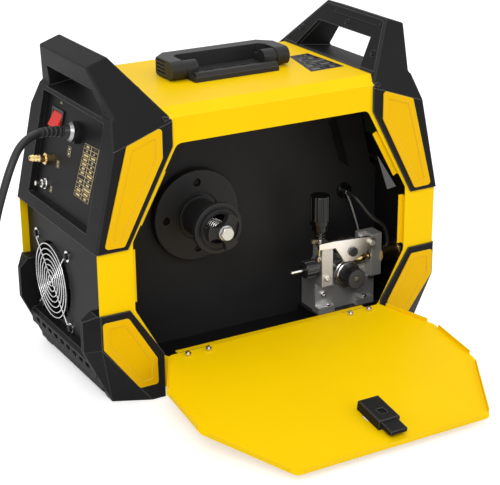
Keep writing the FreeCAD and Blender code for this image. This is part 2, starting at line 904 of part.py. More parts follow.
def tilted_box(spot, half_y, half_up, out0, out1):
    """A box square to the sloping plate: half sizes across and up the slope, and depths along its normal."""
    n = end_normal()
    up = V(0, 1, 0).cross(n) * -1
    if up.z < 0:
        up = up * -1
    corners = [spot + V(0, sy * half_y, 0) + up * (su * half_up) + n * out0
               for sy, su in ((-1, -1), (1, -1), (1, 1), (-1, 1))]
    return polygon(corners).extrude(n * (out1 - out0))


switch_y = 53.0
switch_z = 322.0
switch_half = 15.5
rocker_half = 13.2


def make_switch_rocker():
    """Rocker that turns on the switch's cross pin, one end pressed in."""
    n = end_normal()
    spot = end_spot(switch_y, switch_z, 0.0)
    up = V(0, 0, 1) - n * n.z
    up.normalize()
    pivot = spot - n * 2.0
    profile = [(-9.4, -3.0), (9.4, -3.0), (9.4, 3.0), (0.0, 5.6), (-9.4, 9.0)]
    corners = [pivot + V(0, -rocker_half, 0) + up * a + n * b for a, b in profile]
    rocker = polygon(corners).extrude(V(0, 2 * rocker_half, 0))
    rocker = rocker.cut(rod(pivot - V(0, 20, 0), pivot + V(0, 20, 0), 1.56))
    return rocker


def make_cable_gland():
    """Hexagon nut, round collar and tapered bend relief round the mains lead."""
    n = end_normal()
    spot = end_spot(gland_y, gland_z, 0.0)
    across = 14.5
    corners = []
    side = V(0, 1, 0)
    up = n.cross(side)
    for k in range(6):
        angle = math.radians(60 * k)
        corners.append(spot + n * 0.05 + side * (across * math.cos(angle)) + up * (across * math.sin(angle)))
    nut = polygon(corners).extrude(n * 6.0)
    collar = rod(spot + n * 6.0, spot + n * 9.0, 12.5)
    taper = Part.makeCone(11.5, 6.4, gland_length - 9.0, spot + n * 9.0, n)
    body = nut.fuse(collar).fuse(taper)
    thread = rod(spot - n * 12.0, spot + n * 0.05, 9.5)
    body = body.fuse(thread)
    lock = rod(spot - n * (panel_thickness + 6), spot - n * (panel_thickness + 0.3), 14.0)
    body = body.fuse(lock)
    body = body.cut(rod(spot - n * 13, spot + n * gland_length, cord_radius + 0.02))
    return body.removeSplitter()


gland_length = 20.0


def make_gas_inlet():
    """Brass inlet: hexagon, thread and barbed tail for the gas hose."""
    n = end_normal()
    spot = end_spot(gas_y, gas_z, 0.0)
    side = V(0, 1, 0)
    up = n.cross(side)
    corners = [spot + n * 0.05 + side * (8.0 * math.cos(math.radians(60 * k)))
               + up * (8.0 * math.sin(math.radians(60 * k))) for k in range(6)]
    body = polygon(corners).extrude(n * 6.0)
    body = body.fuse(rod(spot + n * 6, spot + n * 14, 4.5))
    for k in range(3):
        body = body.fuse(Part.makeCone(4.6, 3.2, 4.5, spot + n * (13 + 4.5 * k), n))
    body = body.fuse(rod(spot - n * 10, spot + n * 0.05, 4.8))
    return body.cut(rod(spot - n * 11, spot + n * 28, 2.0)).removeSplitter()


gas_y = 61.0
gas_z = 270.0
earth_y = 60.5
earth_z = 238.5


def make_earth_stud():
    """Threaded stud with a washer and a hexagon nut."""
    n = end_normal()
    spot = end_spot(earth_y, earth_z, 0.0)
    side = V(0, 1, 0)
    up = n.cross(side)
    corners = [spot + n * 1.2 + side * (5.8 * math.cos(math.radians(60 * k)))
               + up * (5.8 * math.sin(math.radians(60 * k))) for k in range(6)]
    body = polygon(corners).extrude(n * 4.5)
    body = body.fuse(rod(spot + n * 0.05, spot + n * 1.2, 7.0))
    body = body.fuse(rod(spot - n * 8, spot + n * 14, 3.0))
    return body.removeSplitter()


# Mains lead: free run, coil and plug

def cord_points():
    """Route of the lead from the bend relief down to the floor and up to the coil."""
    start = mirror_point(end_spot(gland_y, gland_z, gland_length))
    return [start] + [V(*p) for p in lead_route]


lead_route = [
    (-246.7, -8.0, 328.3),
    (-270.4, -11.5, 328.8),
    (-293.2, -21.0, 320.8),
    (-310.0, -34.0, 303.2),
    (-323.5, -39.5, 276.5),
    (-335.8, -43.0, 246.5),
    (-345.0, -45.5, 211.0),
    (-350.5, -47.0, 171.0),
    (-355.0, -48.0, 132.0),
    (-361.0, -48.5, 95.0),
    (-372.0, -48.0, 62.0),
    (-389.0, -47.0, 34.0),
    (-411.5, -46.0, 13.5)]
last_run = 20.0


def mirror_point(p):
    return V(-p.x, p.y, p.z)


def lead_path(points):
    """Straight runs joined by tangent arcs, and the radii of the arcs."""
    edges = []
    radii = []
    here = points[0]
    for i in range(1, len(points) - 1):
        back = points[i - 1].sub(points[i])
        on = points[i + 1].sub(points[i])
        shorter = min(back.Length, on.Length)
        turn = math.pi - back.getAngle(on)
        radius = 0.45 * shorter / math.tan(turn / 2)
        reach = 0.45 * shorter
        back.normalize()
        on.normalize()
        first = points[i].add(back * reach)
        last = points[i].add(on * reach)
        bisector = back.add(on).normalize()
        to_centre = math.hypot(radius, reach)
        middle = points[i].add(bisector * (to_centre - radius))
        edges.append(Part.LineSegment(here, first).toShape())
        edges.append(Part.Arc(first, middle, last).toShape())
        radii.append(radius)
        here = last
    edges.append(Part.LineSegment(here, points[-1]).toShape())
    return Part.Wire(edges), radii


def swept_tube(path, radius, start, direction):
    circle = Part.Wire([Part.Circle(start, direction, radius).toShape()])
    return path.makePipeShell([circle], True, False)


def biarc(p0, t0, p1, t1):
    """Two tangent arcs from p0 along t0 to p1 along t1."""
    gap_vector = p1.sub(p0)
    tangent_sum = t0.add(t1)
    a = 2 * (1 - t0.dot(t1))
    b = 2 * gap_vector.dot(tangent_sum)
    c = gap_vector.dot(gap_vector)
    if a < 1e-9:
        d = c / b
    else:
        d = (-b + math.sqrt(b * b + 4 * a * c)) / (2 * a)
    corner0 = p0.add(t0 * d)
    corner1 = p1.sub(t1 * d)
    joint = corner0.add(corner1) * 0.5
    return [arc_from(p0, t0, joint), arc_from_end(joint, p1, t1)]


def arc_from(p, tangent, q):
    """An arc that leaves p along tangent and ends at q."""
    chord = q.sub(p)
    along = V(tangent).normalize()
    angle = chord.getAngle(along)
    if angle < 1e-7:
        return Part.LineSegment(p, q).toShape()
    radius = chord.Length / (2 * math.sin(angle))
    side = chord - along * chord.dot(along)
    side.normalize()
    centre = p + side * radius
    middle_dir = (p.add(q) * 0.5).sub(centre)
    if angle > math.pi / 2:
        middle_dir = middle_dir * -1
    middle_dir.normalize()
    return Part.Arc(p, centre + middle_dir * radius, q).toShape()


def arc_from_end(p, q, tangent):
    """An arc from p that reaches q along tangent."""
    back = arc_from(q, V(tangent) * -1, p)
    middle = back.valueAt((back.FirstParameter + back.LastParameter) / 2)
    return Part.Arc(p, middle, q).toShape()


coil_turns = 3.5
coil_pitch = 10.9
coil_lift = 10.7
coil_outer = 74.0
coil_x = -470.0
coil_y = coil_outer - 45.0
coil_low = 5.2
coil_start_angle = -90.0
coil_tail = 34.0
plug_radius = 18.5
plug_rise = plug_radius + seat_gap - coil_low - coil_lift


def coil_point(turn):
    """A point on the coil after so many turns: in along the lower layer, up, and out along the upper one."""
    total = 2.0 * coil_turns
    low = coil_low
    climb_from = coil_turns - 0.25
    climb_to = coil_turns + 0.25
    if turn <= climb_from:
        radius = coil_outer - coil_pitch * turn
        height = low
    elif turn >= climb_to:
        radius = coil_outer - coil_pitch * (total - turn)
        share = max(0.0, (turn - total + 0.5) / 0.5)
        height = low + coil_lift + plug_rise * (1 - math.cos(math.pi * share)) / 2
    else:
        share = (turn - climb_from) / (climb_to - climb_from)
        middle = coil_outer - coil_pitch * coil_turns
        edge = middle + coil_pitch * 0.25
        radius = middle + (edge - middle) * (1 - 4 * share * (1 - share))
        height = low + coil_lift * (1 - math.cos(math.pi * share)) / 2
    angle = math.radians(coil_start_angle - 360.0 * turn)
    return V(coil_x + radius * math.cos(angle), coil_y + radius * math.sin(angle), height)


def coil_tangent(turn):
    step = 1e-4
    total = 2.0 * coil_turns
    before = coil_point(max(turn - step, 0.0))
    after = coil_point(min(turn + step, total))
    direction = after.sub(before)
    return direction.normalize()


def make_cord_coil():
    """Put-away length of the lead: two layers of turns, spiralling in and out again."""
    quarters = int(coil_turns * 2 * 4)
    edges = []
    start = coil_point(0.0)
    lead_in = coil_tangent(0.0)
    first = start.sub(lead_in * (2 * cord_radius))
    edges.append(Part.LineSegment(first, start).toShape())
    for k in range(quarters):
        a = k / 4.0
        b = (k + 1) / 4.0
        edges += biarc(coil_point(a), coil_tangent(a), coil_point(b), coil_tangent(b))
    end = coil_point(quarters / 4.0)
    out = coil_tangent(quarters / 4.0)
    last = end.add(out * coil_tail)
    edges.append(Part.LineSegment(end, last).toShape())
    path = Part.Wire(edges)
    tube_shape = swept_tube(path, cord_radius, first, lead_in)
    return tube_shape, path, first, lead_in, last, out


def least_self_gap(points, own_reach, diameter):
    """Least clear gap of a tube to itself, measured on points along its line."""
    least = 1e9
    steps = [0.0]
    for i in range(1, len(points)):
        steps.append(steps[-1] + points[i].distanceToPoint(points[i - 1]))
    for i in range(len(points)):
        for j in range(i + 1, len(points)):
            if steps[j] - steps[i] > own_reach:
                least = min(least, points[i].distanceToPoint(points[j]))
    return least - diameter


def make_plug(spot, direction):
    """Round mains plug with two pins, its bend relief towards the lead."""
    d = V(direction.x, direction.y, 0).normalize()
    side = V(-d.y, d.x, 0)
    relief = Part.makeCone(6.6, 10.0, 22.0, spot + d * 0.02, d)
    waist = Part.makeCone(10.0, 17.5, 14.0, spot + d * 22.0, d)
    head = rod(spot + d * 36.0, spot + d * 60.0, plug_radius)
    face = rod(spot + d * 60.0, spot + d * 63.0, 16.5)
    body = relief.fuse(waist).fuse(head).fuse(face)
    for s in (-1, 1):
        pin = rod(spot + d * 62.0 + side * (9.5 * s), spot + d * 82.0 + side * (9.5 * s), 2.4)
        body = body.fuse(pin)
    for s in (-1, 1):
        groove = box(0, 16, -3, 3, -3, 3)
        groove.Placement = FreeCAD.Placement(spot + d * 45.0 + V(0, 0, s * (plug_radius + 0.5)),
                                             FreeCAD.Rotation(V(1, 0, 0), d))
        body = body.cut(groove)
    return body.removeSplitter()


# Cooling fan

def make_fan_frame():
    """Square fan frame with its air duct, corner holes and hub spider."""
    x0 = -end_panel_x + sheet + gap
    x1 = x0 + fan_depth
    half = fan_size / 2
    frame = box(x0, x1, fan_y - half, fan_y + half, fan_z - half, fan_z + half)
    frame = frame.cut(rod(V(x0 - 1, fan_y, fan_z), V(x1 + 1, fan_y, fan_z), fan_bore))
    for sy in (-1, 1):
        for sz in (-1, 1):
            y = fan_y + sy * fan_hole_half
            z = fan_z + sz * fan_hole_half
            frame = frame.cut(rod(V(x0 - 1, y, z), V(x1 + 1, y, z), screw_shank_radius + 0.1))
    motor = rod(V(x1 - 5, fan_y, fan_z), V(x1, fan_y, fan_z), 21.0)
    shaft = rod(V(x0 + 8, fan_y, fan_z), V(x1 - 4, fan_y, fan_z), 3.0)
    for k in range(4):
        angle = math.radians(45 + 90 * k)
        direction = V(0, math.cos(angle), math.sin(angle))
        across = V(0, -math.sin(angle), math.cos(angle))
        a = V(x1 - 4, fan_y, fan_z) + direction * 18
        b = V(x1 - 4, fan_y, fan_z) + direction * (fan_bore + 1)
        strut = polygon([a + across * 3, b + across * 3, b - across * 3, a - across * 3]).extrude(V(4, 0, 0))
        frame = frame.fuse(strut)
    return frame.fuse(motor).fuse(shaft).removeSplitter()


fan_blades = 7


def make_fan_rotor():
    """Hub cap with twisted blades."""
    x0 = -end_panel_x + sheet + gap + 5
    x1 = x0 + 26
    hub = rod(V(x0, fan_y, fan_z), V(x1, fan_y, fan_z), 19.0)
    hub = hub.cut(rod(V(x0 + 2.5, fan_y, fan_z), V(x1 + 1, fan_y, fan_z), 3.05))
    blades = []
    for k in range(fan_blades):
        sections = []
        for radius, half_chord, pitch in ((17.5, 12.0, 48.0), (34.0, 15.0, 36.0), (fan_bore - 2, 17.0, 28.0)):
            angle = math.radians(pitch)
            middle = V((x0 + x1) / 2, radius, 0)
            along = V(math.cos(angle), 0,
                      math.sin(angle)) * (half_chord * min(1.0, 10.5 / (half_chord * math.cos(angle))))
            thick = V(-math.sin(angle), 0, math.cos(angle)) * 0.9
            corners = [middle - along - thick, middle + along - thick, middle + along + thick,
                       middle - along + thick]
            sections.append(Part.makePolygon(corners + [corners[0]]))
        blade = Part.makeLoft(sections, True, True)
        blade.rotate(V(0, 0, 0), V(1, 0, 0), 360.0 * k / fan_blades)
        blade.translate(V(0, fan_y, fan_z))
        blades.append(blade)
    return fuse_all([hub] + blades)


def make_fan_guard():
    """Chromed wire guard: rings on two crossed wires that end in screw eyes."""
    x = -end_panel_x - 5.0
    pieces = []
    for k in range(guard_rings):
        pieces.append(Part.makeTorus(guard_first + guard_pitch * k, guard_wire, V(x, fan_y, fan_z),
                                     V(1, 0, 0)))
    reach = fan_hole_half - guard_foot * math.sqrt(0.5)
    for s in (-1, 1):
        a = V(x + 1.2, fan_y - reach, fan_z - s * reach)
        b = V(x + 1.2, fan_y + reach, fan_z + s * reach)
        pieces.append(rod(a, b, 1.0))
    for sy in (-1, 1):
        for sz in (-1, 1):
            y = fan_y + sy * fan_hole_half
            z = fan_z + sz * fan_hole_half
            eye = tube(V(-end_panel_x - 1.7, y, z), V(-end_panel_x - 0.05, y, z), guard_eye,
                       screw_shank_radius + 0.3)
            foot_y = fan_y + sy * reach
            foot_z = fan_z + sz * reach
            leg = rod(V(x + 1.2, foot_y, foot_z), V(-end_panel_x - 0.6, foot_y, foot_z), 1.0)
            knee = Part.makeSphere(1.0, V(x + 1.2, foot_y, foot_z))
            pieces += [eye, leg, knee]
    return fuse_all(pieces)


# Carry handle

def make_bail_base():
    """Base plate with two knuckles that carry the handle's pins."""
    z0 = case_top + 0.05
    y0 = -31.0
    plate = box(-bail_base_half, bail_base_half, y0, 21.0, z0, z0 + 6)
    plate = plate.makeFillet(2.0, [e for e in plate.Edges if abs(e.BoundBox.ZLength) > 3])
    rail = prism_yz([(y0, z0 + 5), (y0 + 3, z0 + 11.5), (y0 + 9, z0 + 11.5), (y0 + 12, z0 + 5)],
                    -bail_base_half + 2, bail_base_half - 2)
    body = plate.fuse(rail)
    for k in range(3):
        x = -26 + 26 * k
        slot = box(x - 8, x + 8, -6, 2, z0 + 2.5, z0 + 8)
        body = body.cut(slot)
    for s in (-1, 1):
        inner = s * (bail_base_half - 13)
        outer = s * (bail_arm_in - gap)
        knuckle = rod(V(inner, bail_y, bail_z), V(outer, bail_y, bail_z), 10.6)
        seat = box(min(inner, s * bail_base_half), max(inner, s * bail_base_half), bail_y - 10.6,
                   bail_y + 10.6,
                   z0, bail_z)
        ribs = box(min(inner, inner + s * 4), max(inner, inner + s * 4), bail_y - 10.6, bail_y + 16, z0,
                   bail_z + 4)
        pin = rod(V(inner, bail_y, bail_z), V(s * (bail_arm_out - 4), bail_y, bail_z), bail_pin_radius)
        body = body.fuse(knuckle).fuse(seat).fuse(ribs).fuse(pin)
    return body.removeSplitter()


def make_bail():
    """Folding handle: a broad bar on two ribbed arms."""
    low = case_top + 1.5
    high = bail_z + bail_radius
    reach_y = bail_y + bail_reach
    chamfer = 15.0
    outline = [(-bail_arm_out, bail_y), (-bail_arm_out, reach_y - chamfer),
               (-bail_arm_out + chamfer, reach_y),
               (bail_arm_out - chamfer, reach_y), (bail_arm_out, reach_y - chamfer), (bail_arm_out, bail_y),
               (bail_arm_in, bail_y), (bail_arm_in, reach_y - bail_bar - 7), (bail_arm_in - 7,
                                                                              reach_y - bail_bar),
               (-bail_arm_in + 7, reach_y - bail_bar), (-bail_arm_in,
                                                        reach_y - bail_bar - 7), (-bail_arm_in, bail_y)]
    body = prism_xy(outline, low, high)
    edges = [e for e in body.Edges if e.BoundBox.YMax > reach_y - 0.1 and e.BoundBox.ZLength < 0.1]
    body = body.makeFillet(4.0, edges)
    for s in (-1, 1):
        a = V(s * bail_arm_in, bail_y, bail_z)
        b = V(s * bail_arm_out, bail_y, bail_z)
        body = body.fuse(rod(a, b, bail_radius))
        under = box(min(a.x, b.x), max(a.x, b.x), bail_y - 1, bail_y + 6, low - 0.2, bail_z)
        body = body.cut(under.cut(rod(a - V(s, 0, 0), b + V(s, 0, 0), bail_radius)))
        body = body.cut(rod(V(s * (bail_arm_in - 1), bail_y, bail_z),
                            V(s * (bail_arm_out - 3.5), bail_y, bail_z),
                            bail_pin_radius + 0.08))
        for k in range(4):
            z = low + 4.5 + k * 4.8
            x = s * bail_arm_out
            groove = box(min(x - s * 2.2, x + s), max(x - s * 2.2, x + s), bail_y + 10,
                         reach_y - chamfer - 2, z, z + 2.4)
            body = body.cut(groove)
    return body.removeSplitter()


# Door, hinges and latch

hinge_axis_y = -half_width - hinge_axis_out
hinge_axis_z = opening_bottom + 0.3


def door_turn(shape):
    """Swings a piece from the closed place to the open place that it rests in."""
    turned = shape.copy()
    turned.rotate(V(0, hinge_axis_y, hinge_axis_z), V(1, 0, 0), door_angle)
    return turned


def make_door():
    """Octagonal sheet with short folded edges, notched at the corners."""
    outline = opening_outline(door_gap)
    skin = rounded_prism(outline, opening_round - door_gap, -half_width, -half_width + sheet)
    inner = inset(outline, sheet)
    flange_back = -half_width + sheet + door_flange
    pieces = [skin]
    count = len(outline)
    for i in range(count):
        a, b = outline[i], outline[(i + 1) % count]
        c, d = inner[(i + 1) % count], inner[i]
        length = math.hypot(b[0] - a[0], b[1] - a[1])
        notch = opening_round * 0.9 / length
        if abs(a[1] - b[1]) < 1 and a[1] < opening_lower_z:
            continue

        def part_way(p, q, share):
            return (p[0] + (q[0] - p[0]) * share, p[1] + (q[1] - p[1]) * share)

        quad = [part_way(a, b, notch), part_way(a, b, 1 - notch), part_way(d, c, 1 - notch),
                part_way(d, c, notch)]
        pieces.append(prism_xz(quad, -half_width + sheet * 0.5, flange_back))
    door = fuse_all(pieces)
    for x in (-hinge_x - 14.5, -hinge_x + 14.5, hinge_x - 14.5, hinge_x + 14.5):
        door = door.cut(rod(V(x, -half_width - 2, hinge_stud_z), V(x, -half_width + 3, hinge_stud_z), 2.2))
    door = door.cut(box(-6, 6, -half_width - 2, -half_width + 3, latch_slot_z - 6, latch_slot_z + 6))
    return door_turn(door.removeSplitter())


hinge_stud_z = opening_bottom + 10.0
latch_slot_z = opening_top - 61.0
latch_x = 10.0


def make_hinge_door_leaves():
    """Door leaves of both hinges with their studs and nuts on the inside of the door."""
    pieces = []
    for side in (-1, 1):
        centre = side * hinge_x
        leaf = box(centre - hinge_half, centre + hinge_half, -half_width - hinge_leaf, -half_width - 0.05,
                   hinge_axis_z + 3.4, hinge_axis_z + hinge_leaf_height)
        for k in (-1, 1):
            x0 = centre + k * (hinge_half + hinge_third) / 2 - (hinge_half - hinge_third) / 2 + 0.2
            knuckle = knuckle_piece(x0, x0 + (hinge_half - hinge_third) - 0.4, 1)
            leaf = leaf.fuse(knuckle)
        for k in (-1, 1):
            x = centre + k * 14.5
            stud = rod(V(x, -half_width - hinge_leaf, hinge_stud_z),
                       V(x, -half_width + sheet + 6, hinge_stud_z), 1.9)
            head = rod(V(x, -half_width - hinge_leaf - 1.4, hinge_stud_z),
                       V(x, -half_width - hinge_leaf, hinge_stud_z), 3.4)
            leaf = leaf.fuse(stud).fuse(head)
            corners = [(x + 4.2 * math.cos(math.radians(60 * n)),
                        hinge_stud_z + 4.2 * math.sin(math.radians(60 * n)))
                       for n in range(6)]
            nut = prism_xz(corners, -half_width + sheet + 0.05, -half_width + sheet + 3.6)
            pieces.append(nut.cut(rod(V(x, -half_width, hinge_stud_z), V(x, -half_width + 9, hinge_stud_z),
                                      1.92)))
        pieces.append(leaf.removeSplitter())
    return door_turn(Part.makeCompound(pieces))


hinge_third = hinge_half / 3


def knuckle_piece(x0, x1, up):
    """A rolled knuckle round the hinge pin, joined to its leaf above or below."""
    a = V(x0, hinge_axis_y, hinge_axis_z)
    b = V(x1, hinge_axis_y, hinge_axis_z)
    barrel = rod(a, b, hinge_knuckle_radius)
    z0 = hinge_axis_z if up > 0 else hinge_axis_z - 4.6
    z1 = hinge_axis_z + 4.6 if up > 0 else hinge_axis_z
    web = box(x0, x1, -half_width - hinge_axis_out, -half_width - 0.05, z0, z1)
    return barrel.fuse(web).cut(rod(a - V(1, 0, 0), b + V(1, 0, 0), hinge_pin_radius + 0.06))


def make_hinge_case_leaves():
    """Case leaves of both hinges, each with its riveted pin."""
    pieces = []
    for side in (-1, 1):
        centre = side * hinge_x
        leaf = box(centre - hinge_half, centre + hinge_half, -half_width - hinge_leaf, -half_width - 0.05,
                   hinge_axis_z - hinge_leaf_height, hinge_axis_z - 3.4)
        leaf = leaf.fuse(knuckle_piece(centre - hinge_third + 0.2, centre + hinge_third - 0.2, -1))
        a = V(centre - hinge_half, hinge_axis_y, hinge_axis_z)
        b = V(centre + hinge_half, hinge_axis_y, hinge_axis_z)
        leaf = leaf.fuse(rod(a, b, hinge_pin_radius))
        for k in (-1, 1):
            x = centre + k * 14.5
            leaf = leaf.fuse(rod(V(x, -half_width - hinge_leaf - 1.3, hinge_axis_z - 11),
                                 V(x, -half_width - hinge_leaf, hinge_axis_z - 11), 3.2))
        pieces.append(leaf.removeSplitter())
    return Part.makeCompound(pieces)


latch_low = opening_top - 80.0
latch_high = opening_top - 34.0
latch_back = -half_width + sheet + 0.05
latch_depth = 13.0


def make_latch_body():
    """Latch housing screwed to the inside of the door, hollow for its slide."""
    outer = box(latch_x - latch_half, latch_x + latch_half, latch_back, latch_back + latch_depth,
                latch_low, latch_high)
    outer = outer.makeFillet(1.5, [e for e in outer.Edges if abs(e.BoundBox.YMin - e.BoundBox.YMax) < 0.1
                                   and e.BoundBox.YMin > latch_back + 5])
    tunnel = box(latch_x - latch_half + 3, latch_x + latch_half - 3, latch_back + 3,
                 latch_back + latch_depth - 2.5,
                 latch_low + 4, latch_high + 5)
    window = box(latch_x - 5, latch_x + 5, latch_back + latch_depth - 4, latch_back + latch_depth + 1,
                 latch_slot_z + 5, latch_slot_z + 15)
    grip = box(latch_x - 5, latch_x + 5, latch_back - 2, latch_back + 4, latch_slot_z - 8, latch_slot_z + 8)
    return door_turn(outer.cut(tunnel).cut(window).cut(grip))


def make_latch_slide():
    """Sprung latch tongue with a sloping nose."""
    x0 = latch_x - latch_half + 3 + gap
    x1 = latch_x + latch_half - 3 - gap
    y0 = latch_back + 3 + gap
    y1 = latch_back + latch_depth - 2.5 - gap
    tip = opening_top - door_gap - 12.0
    profile = [(y0, latch_low + 4 + latch_travel + gap), (y1, latch_low + 4 + latch_travel + gap), (y1, tip),
               (y0 + 2, tip), (y0, tip - 5)]
    return door_turn(prism_yz(profile, x0, x1))


# Spool hub

def make_hub_flange():
    """Round flange with a stepped collar, fixed to the partition, and the axle that the spindle turns on."""
    back = wall_y - 0.05
    face = wall_y - hub_flange_thick
    disc = rod(V(hub_x, back, hub_z), V(hub_x, face, hub_z), hub_flange_radius)
    disc = disc.makeFillet(2.0,
                           [e for e in disc.Edges if abs(e.CenterOfMass.y - face) < 0.01 and len(e.Vertexes) < 2])
    groove = tube(V(hub_x, face - 1, hub_z), V(hub_x, face + 2.5, hub_z), 32.0, spindle_radius + 4.5)
    disc = disc.cut(groove)
    for angle in (0, 90, 180, 270):
        spot = V(hub_x, face, hub_z) + V(math.cos(math.radians(angle)), 0,
                                         math.sin(math.radians(angle))) * hub_screw_circle
        disc = disc.cut(rod(spot - V(0, 1, 0), spot + V(0, 6, 0), screw_head_radius + 1.2))
        disc = disc.cut(rod(spot, spot + V(0, 20, 0), screw_shank_radius + 0.2))
    axle = rod(V(hub_x, face + 1, hub_z), V(hub_x, face - 36.0, hub_z), 8.0)
    bore = rod(V(hub_x, face - 8, hub_z), V(hub_x, face - 40, hub_z), 3.3)
    return disc.fuse(axle).cut(bore).removeSplitter()


spindle_back = wall_y - hub_flange_thick - 0.4


def make_hub_spindle():
    """Hollow spindle that the spool sits on, with a shoulder at its back."""
    back = spindle_back
    front = back - spindle_length
    body = rod(V(hub_x, back, hub_z), V(hub_x, front, hub_z), spindle_radius)
    shoulder = rod(V(hub_x, back, hub_z), V(hub_x, back - 4, hub_z), spindle_radius + 3.0)
    body = body.fuse(shoulder)
    body = body.cut(rod(V(hub_x, back - spindle_floor, hub_z), V(hub_x, front - 1, hub_z), spindle_bore))
    body = body.cut(rod(V(hub_x, back + 1, hub_z), V(hub_x, front - 1, hub_z), 8.06))
    return body.removeSplitter()


def make_hub_ring():
    """Ring nut on the spindle's end that keeps the spool on, with a stepped mouth and grip notches."""
    front = spindle_back - spindle_length
    back = front + hub_rim_length
    ring = rod(V(hub_x, back, hub_z), V(hub_x, front, hub_z), hub_rim_radius)
    ring = ring.makeFillet(1.5, [e for e in ring.Edges if len(e.Vertexes) < 2 or e.BoundBox.YLength < 0.1])
    ring = ring.cut(rod(V(hub_x, front + 3, hub_z), V(hub_x, front - 1, hub_z), hub_rim_radius - 5.0))
    ring = ring.cut(rod(V(hub_x, back + 1, hub_z), V(hub_x, front - 1, hub_z), spindle_radius + 0.06))
    for k in range(hub_notches):
        angle = math.radians(360.0 * k / hub_notches)
        spot = V(hub_x + (hub_rim_radius + 1.2) * math.cos(angle), back + 1,
                 hub_z + (hub_rim_radius + 1.2) * math.sin(angle))
        ring = ring.cut(rod(spot, spot - V(0, hub_rim_length - 2.0, 0), 2.0))
    return ring


def make_hub_lock():
    """Locking piece with three arms that keeps the spool on; it turns with the end of the brake bolt."""
    front = spindle_back - spindle_length
    y1 = front - gap - lock_stand
    y0 = y1 - lock_thick
    disc = rod(V(hub_x, y1, hub_z), V(hub_x, y0, hub_z), lock_radius)
    for k in range(lock_arms):
        angle = math.radians(lock_angle + 180.0 / lock_arms + 360.0 * k / lock_arms)
        side = V(hub_x + lock_notch_out * math.cos(angle), y1 + 1, hub_z + lock_notch_out * math.sin(angle))
        disc = disc.cut(rod(side, side - V(0, lock_thick + 2, 0), lock_notch_radius))
    boss = rod(V(hub_x, front + 14, hub_z), V(hub_x, y0, hub_z), lock_boss)
    whole = disc.fuse(boss).cut(rod(V(hub_x, front + 16, hub_z), V(hub_x, y0 - 1, hub_z), 4.06))
    return whole.removeSplitter()


def make_hub_bolt():
    """Hexagon brake bolt and washer through the locking piece."""
    y0 = spindle_back - spindle_length - gap - lock_stand - lock_thick - 0.1
    washer = rod(V(hub_x, y0, hub_z), V(hub_x, y0 - 1.5, hub_z), bolt_across + 0.4)
    corners = [(hub_x + bolt_across * math.cos(math.radians(60 * n)),
                hub_z + bolt_across * math.sin(math.radians(60 * n))) for n in range(6)]
    head = prism_xz(corners, y0 - 7.0, y0 - 1.5)
    crown = Part.makeCone(bolt_across * 1.35, bolt_across * 0.82, 6.0, V(hub_x, y0 - 1.2, hub_z), V(0, -1, 0))
    head = head.common(crown)
    end_y = wall_y - hub_flange_thick - 12.0
    shank_end = spindle_back - spindle_length + 14
    shank = rod(V(hub_x, y0, hub_z), V(hub_x, shank_end, hub_z), 4.0)
    tail = rod(V(hub_x, shank_end, hub_z), V(hub_x, end_y, hub_z), 3.2)
    return washer.fuse(head).fuse(shank).fuse(tail).removeSplitter()


def helix_tube(centre, axis, side, radius, wire, pitch, turns):
    """A round-wire coil of so many turns, as biarcs of a quarter turn."""
    other = axis.cross(side)

    def at(turn):
        angle = 2 * math.pi * turn
        return centre + axis * (pitch * turn) + side * (radius * math.cos(angle)) + other * (radius * math.sin(angle))

    def toward(turn):
        angle = 2 * math.pi * turn
        direction = (axis * pitch + side * (-2 * math.pi * radius * math.sin(angle))
                     + other * (2 * math.pi * radius * math.cos(angle)))
        return direction.normalize()

    edges = []
    steps = int(turns * 4)
    for k in range(steps):
        a = k / 4.0
        b = (k + 1) / 4.0
        edges += biarc(at(a), toward(a), at(b), toward(b))
    path = Part.Wire(edges)
    print("coil gap", round(pitch - 2 * wire, 2))
    return swept_tube(path, wire, at(0.0), toward(0.0))


def make_hub_spring():
    """Brake spring round the bolt, from the floor of the spindle's bore to the back of the lock bar."""
    length = spindle_length - spindle_floor + lock_stand - 2 * (brake_wire + gap)
    start = V(hub_x, spindle_back - spindle_floor - brake_wire - gap, hub_z)
    return helix_tube(start, V(0, -1, 0), V(1, 0, 0), brake_radius, brake_wire, length / brake_turns,
                      brake_turns)


# Wire drive

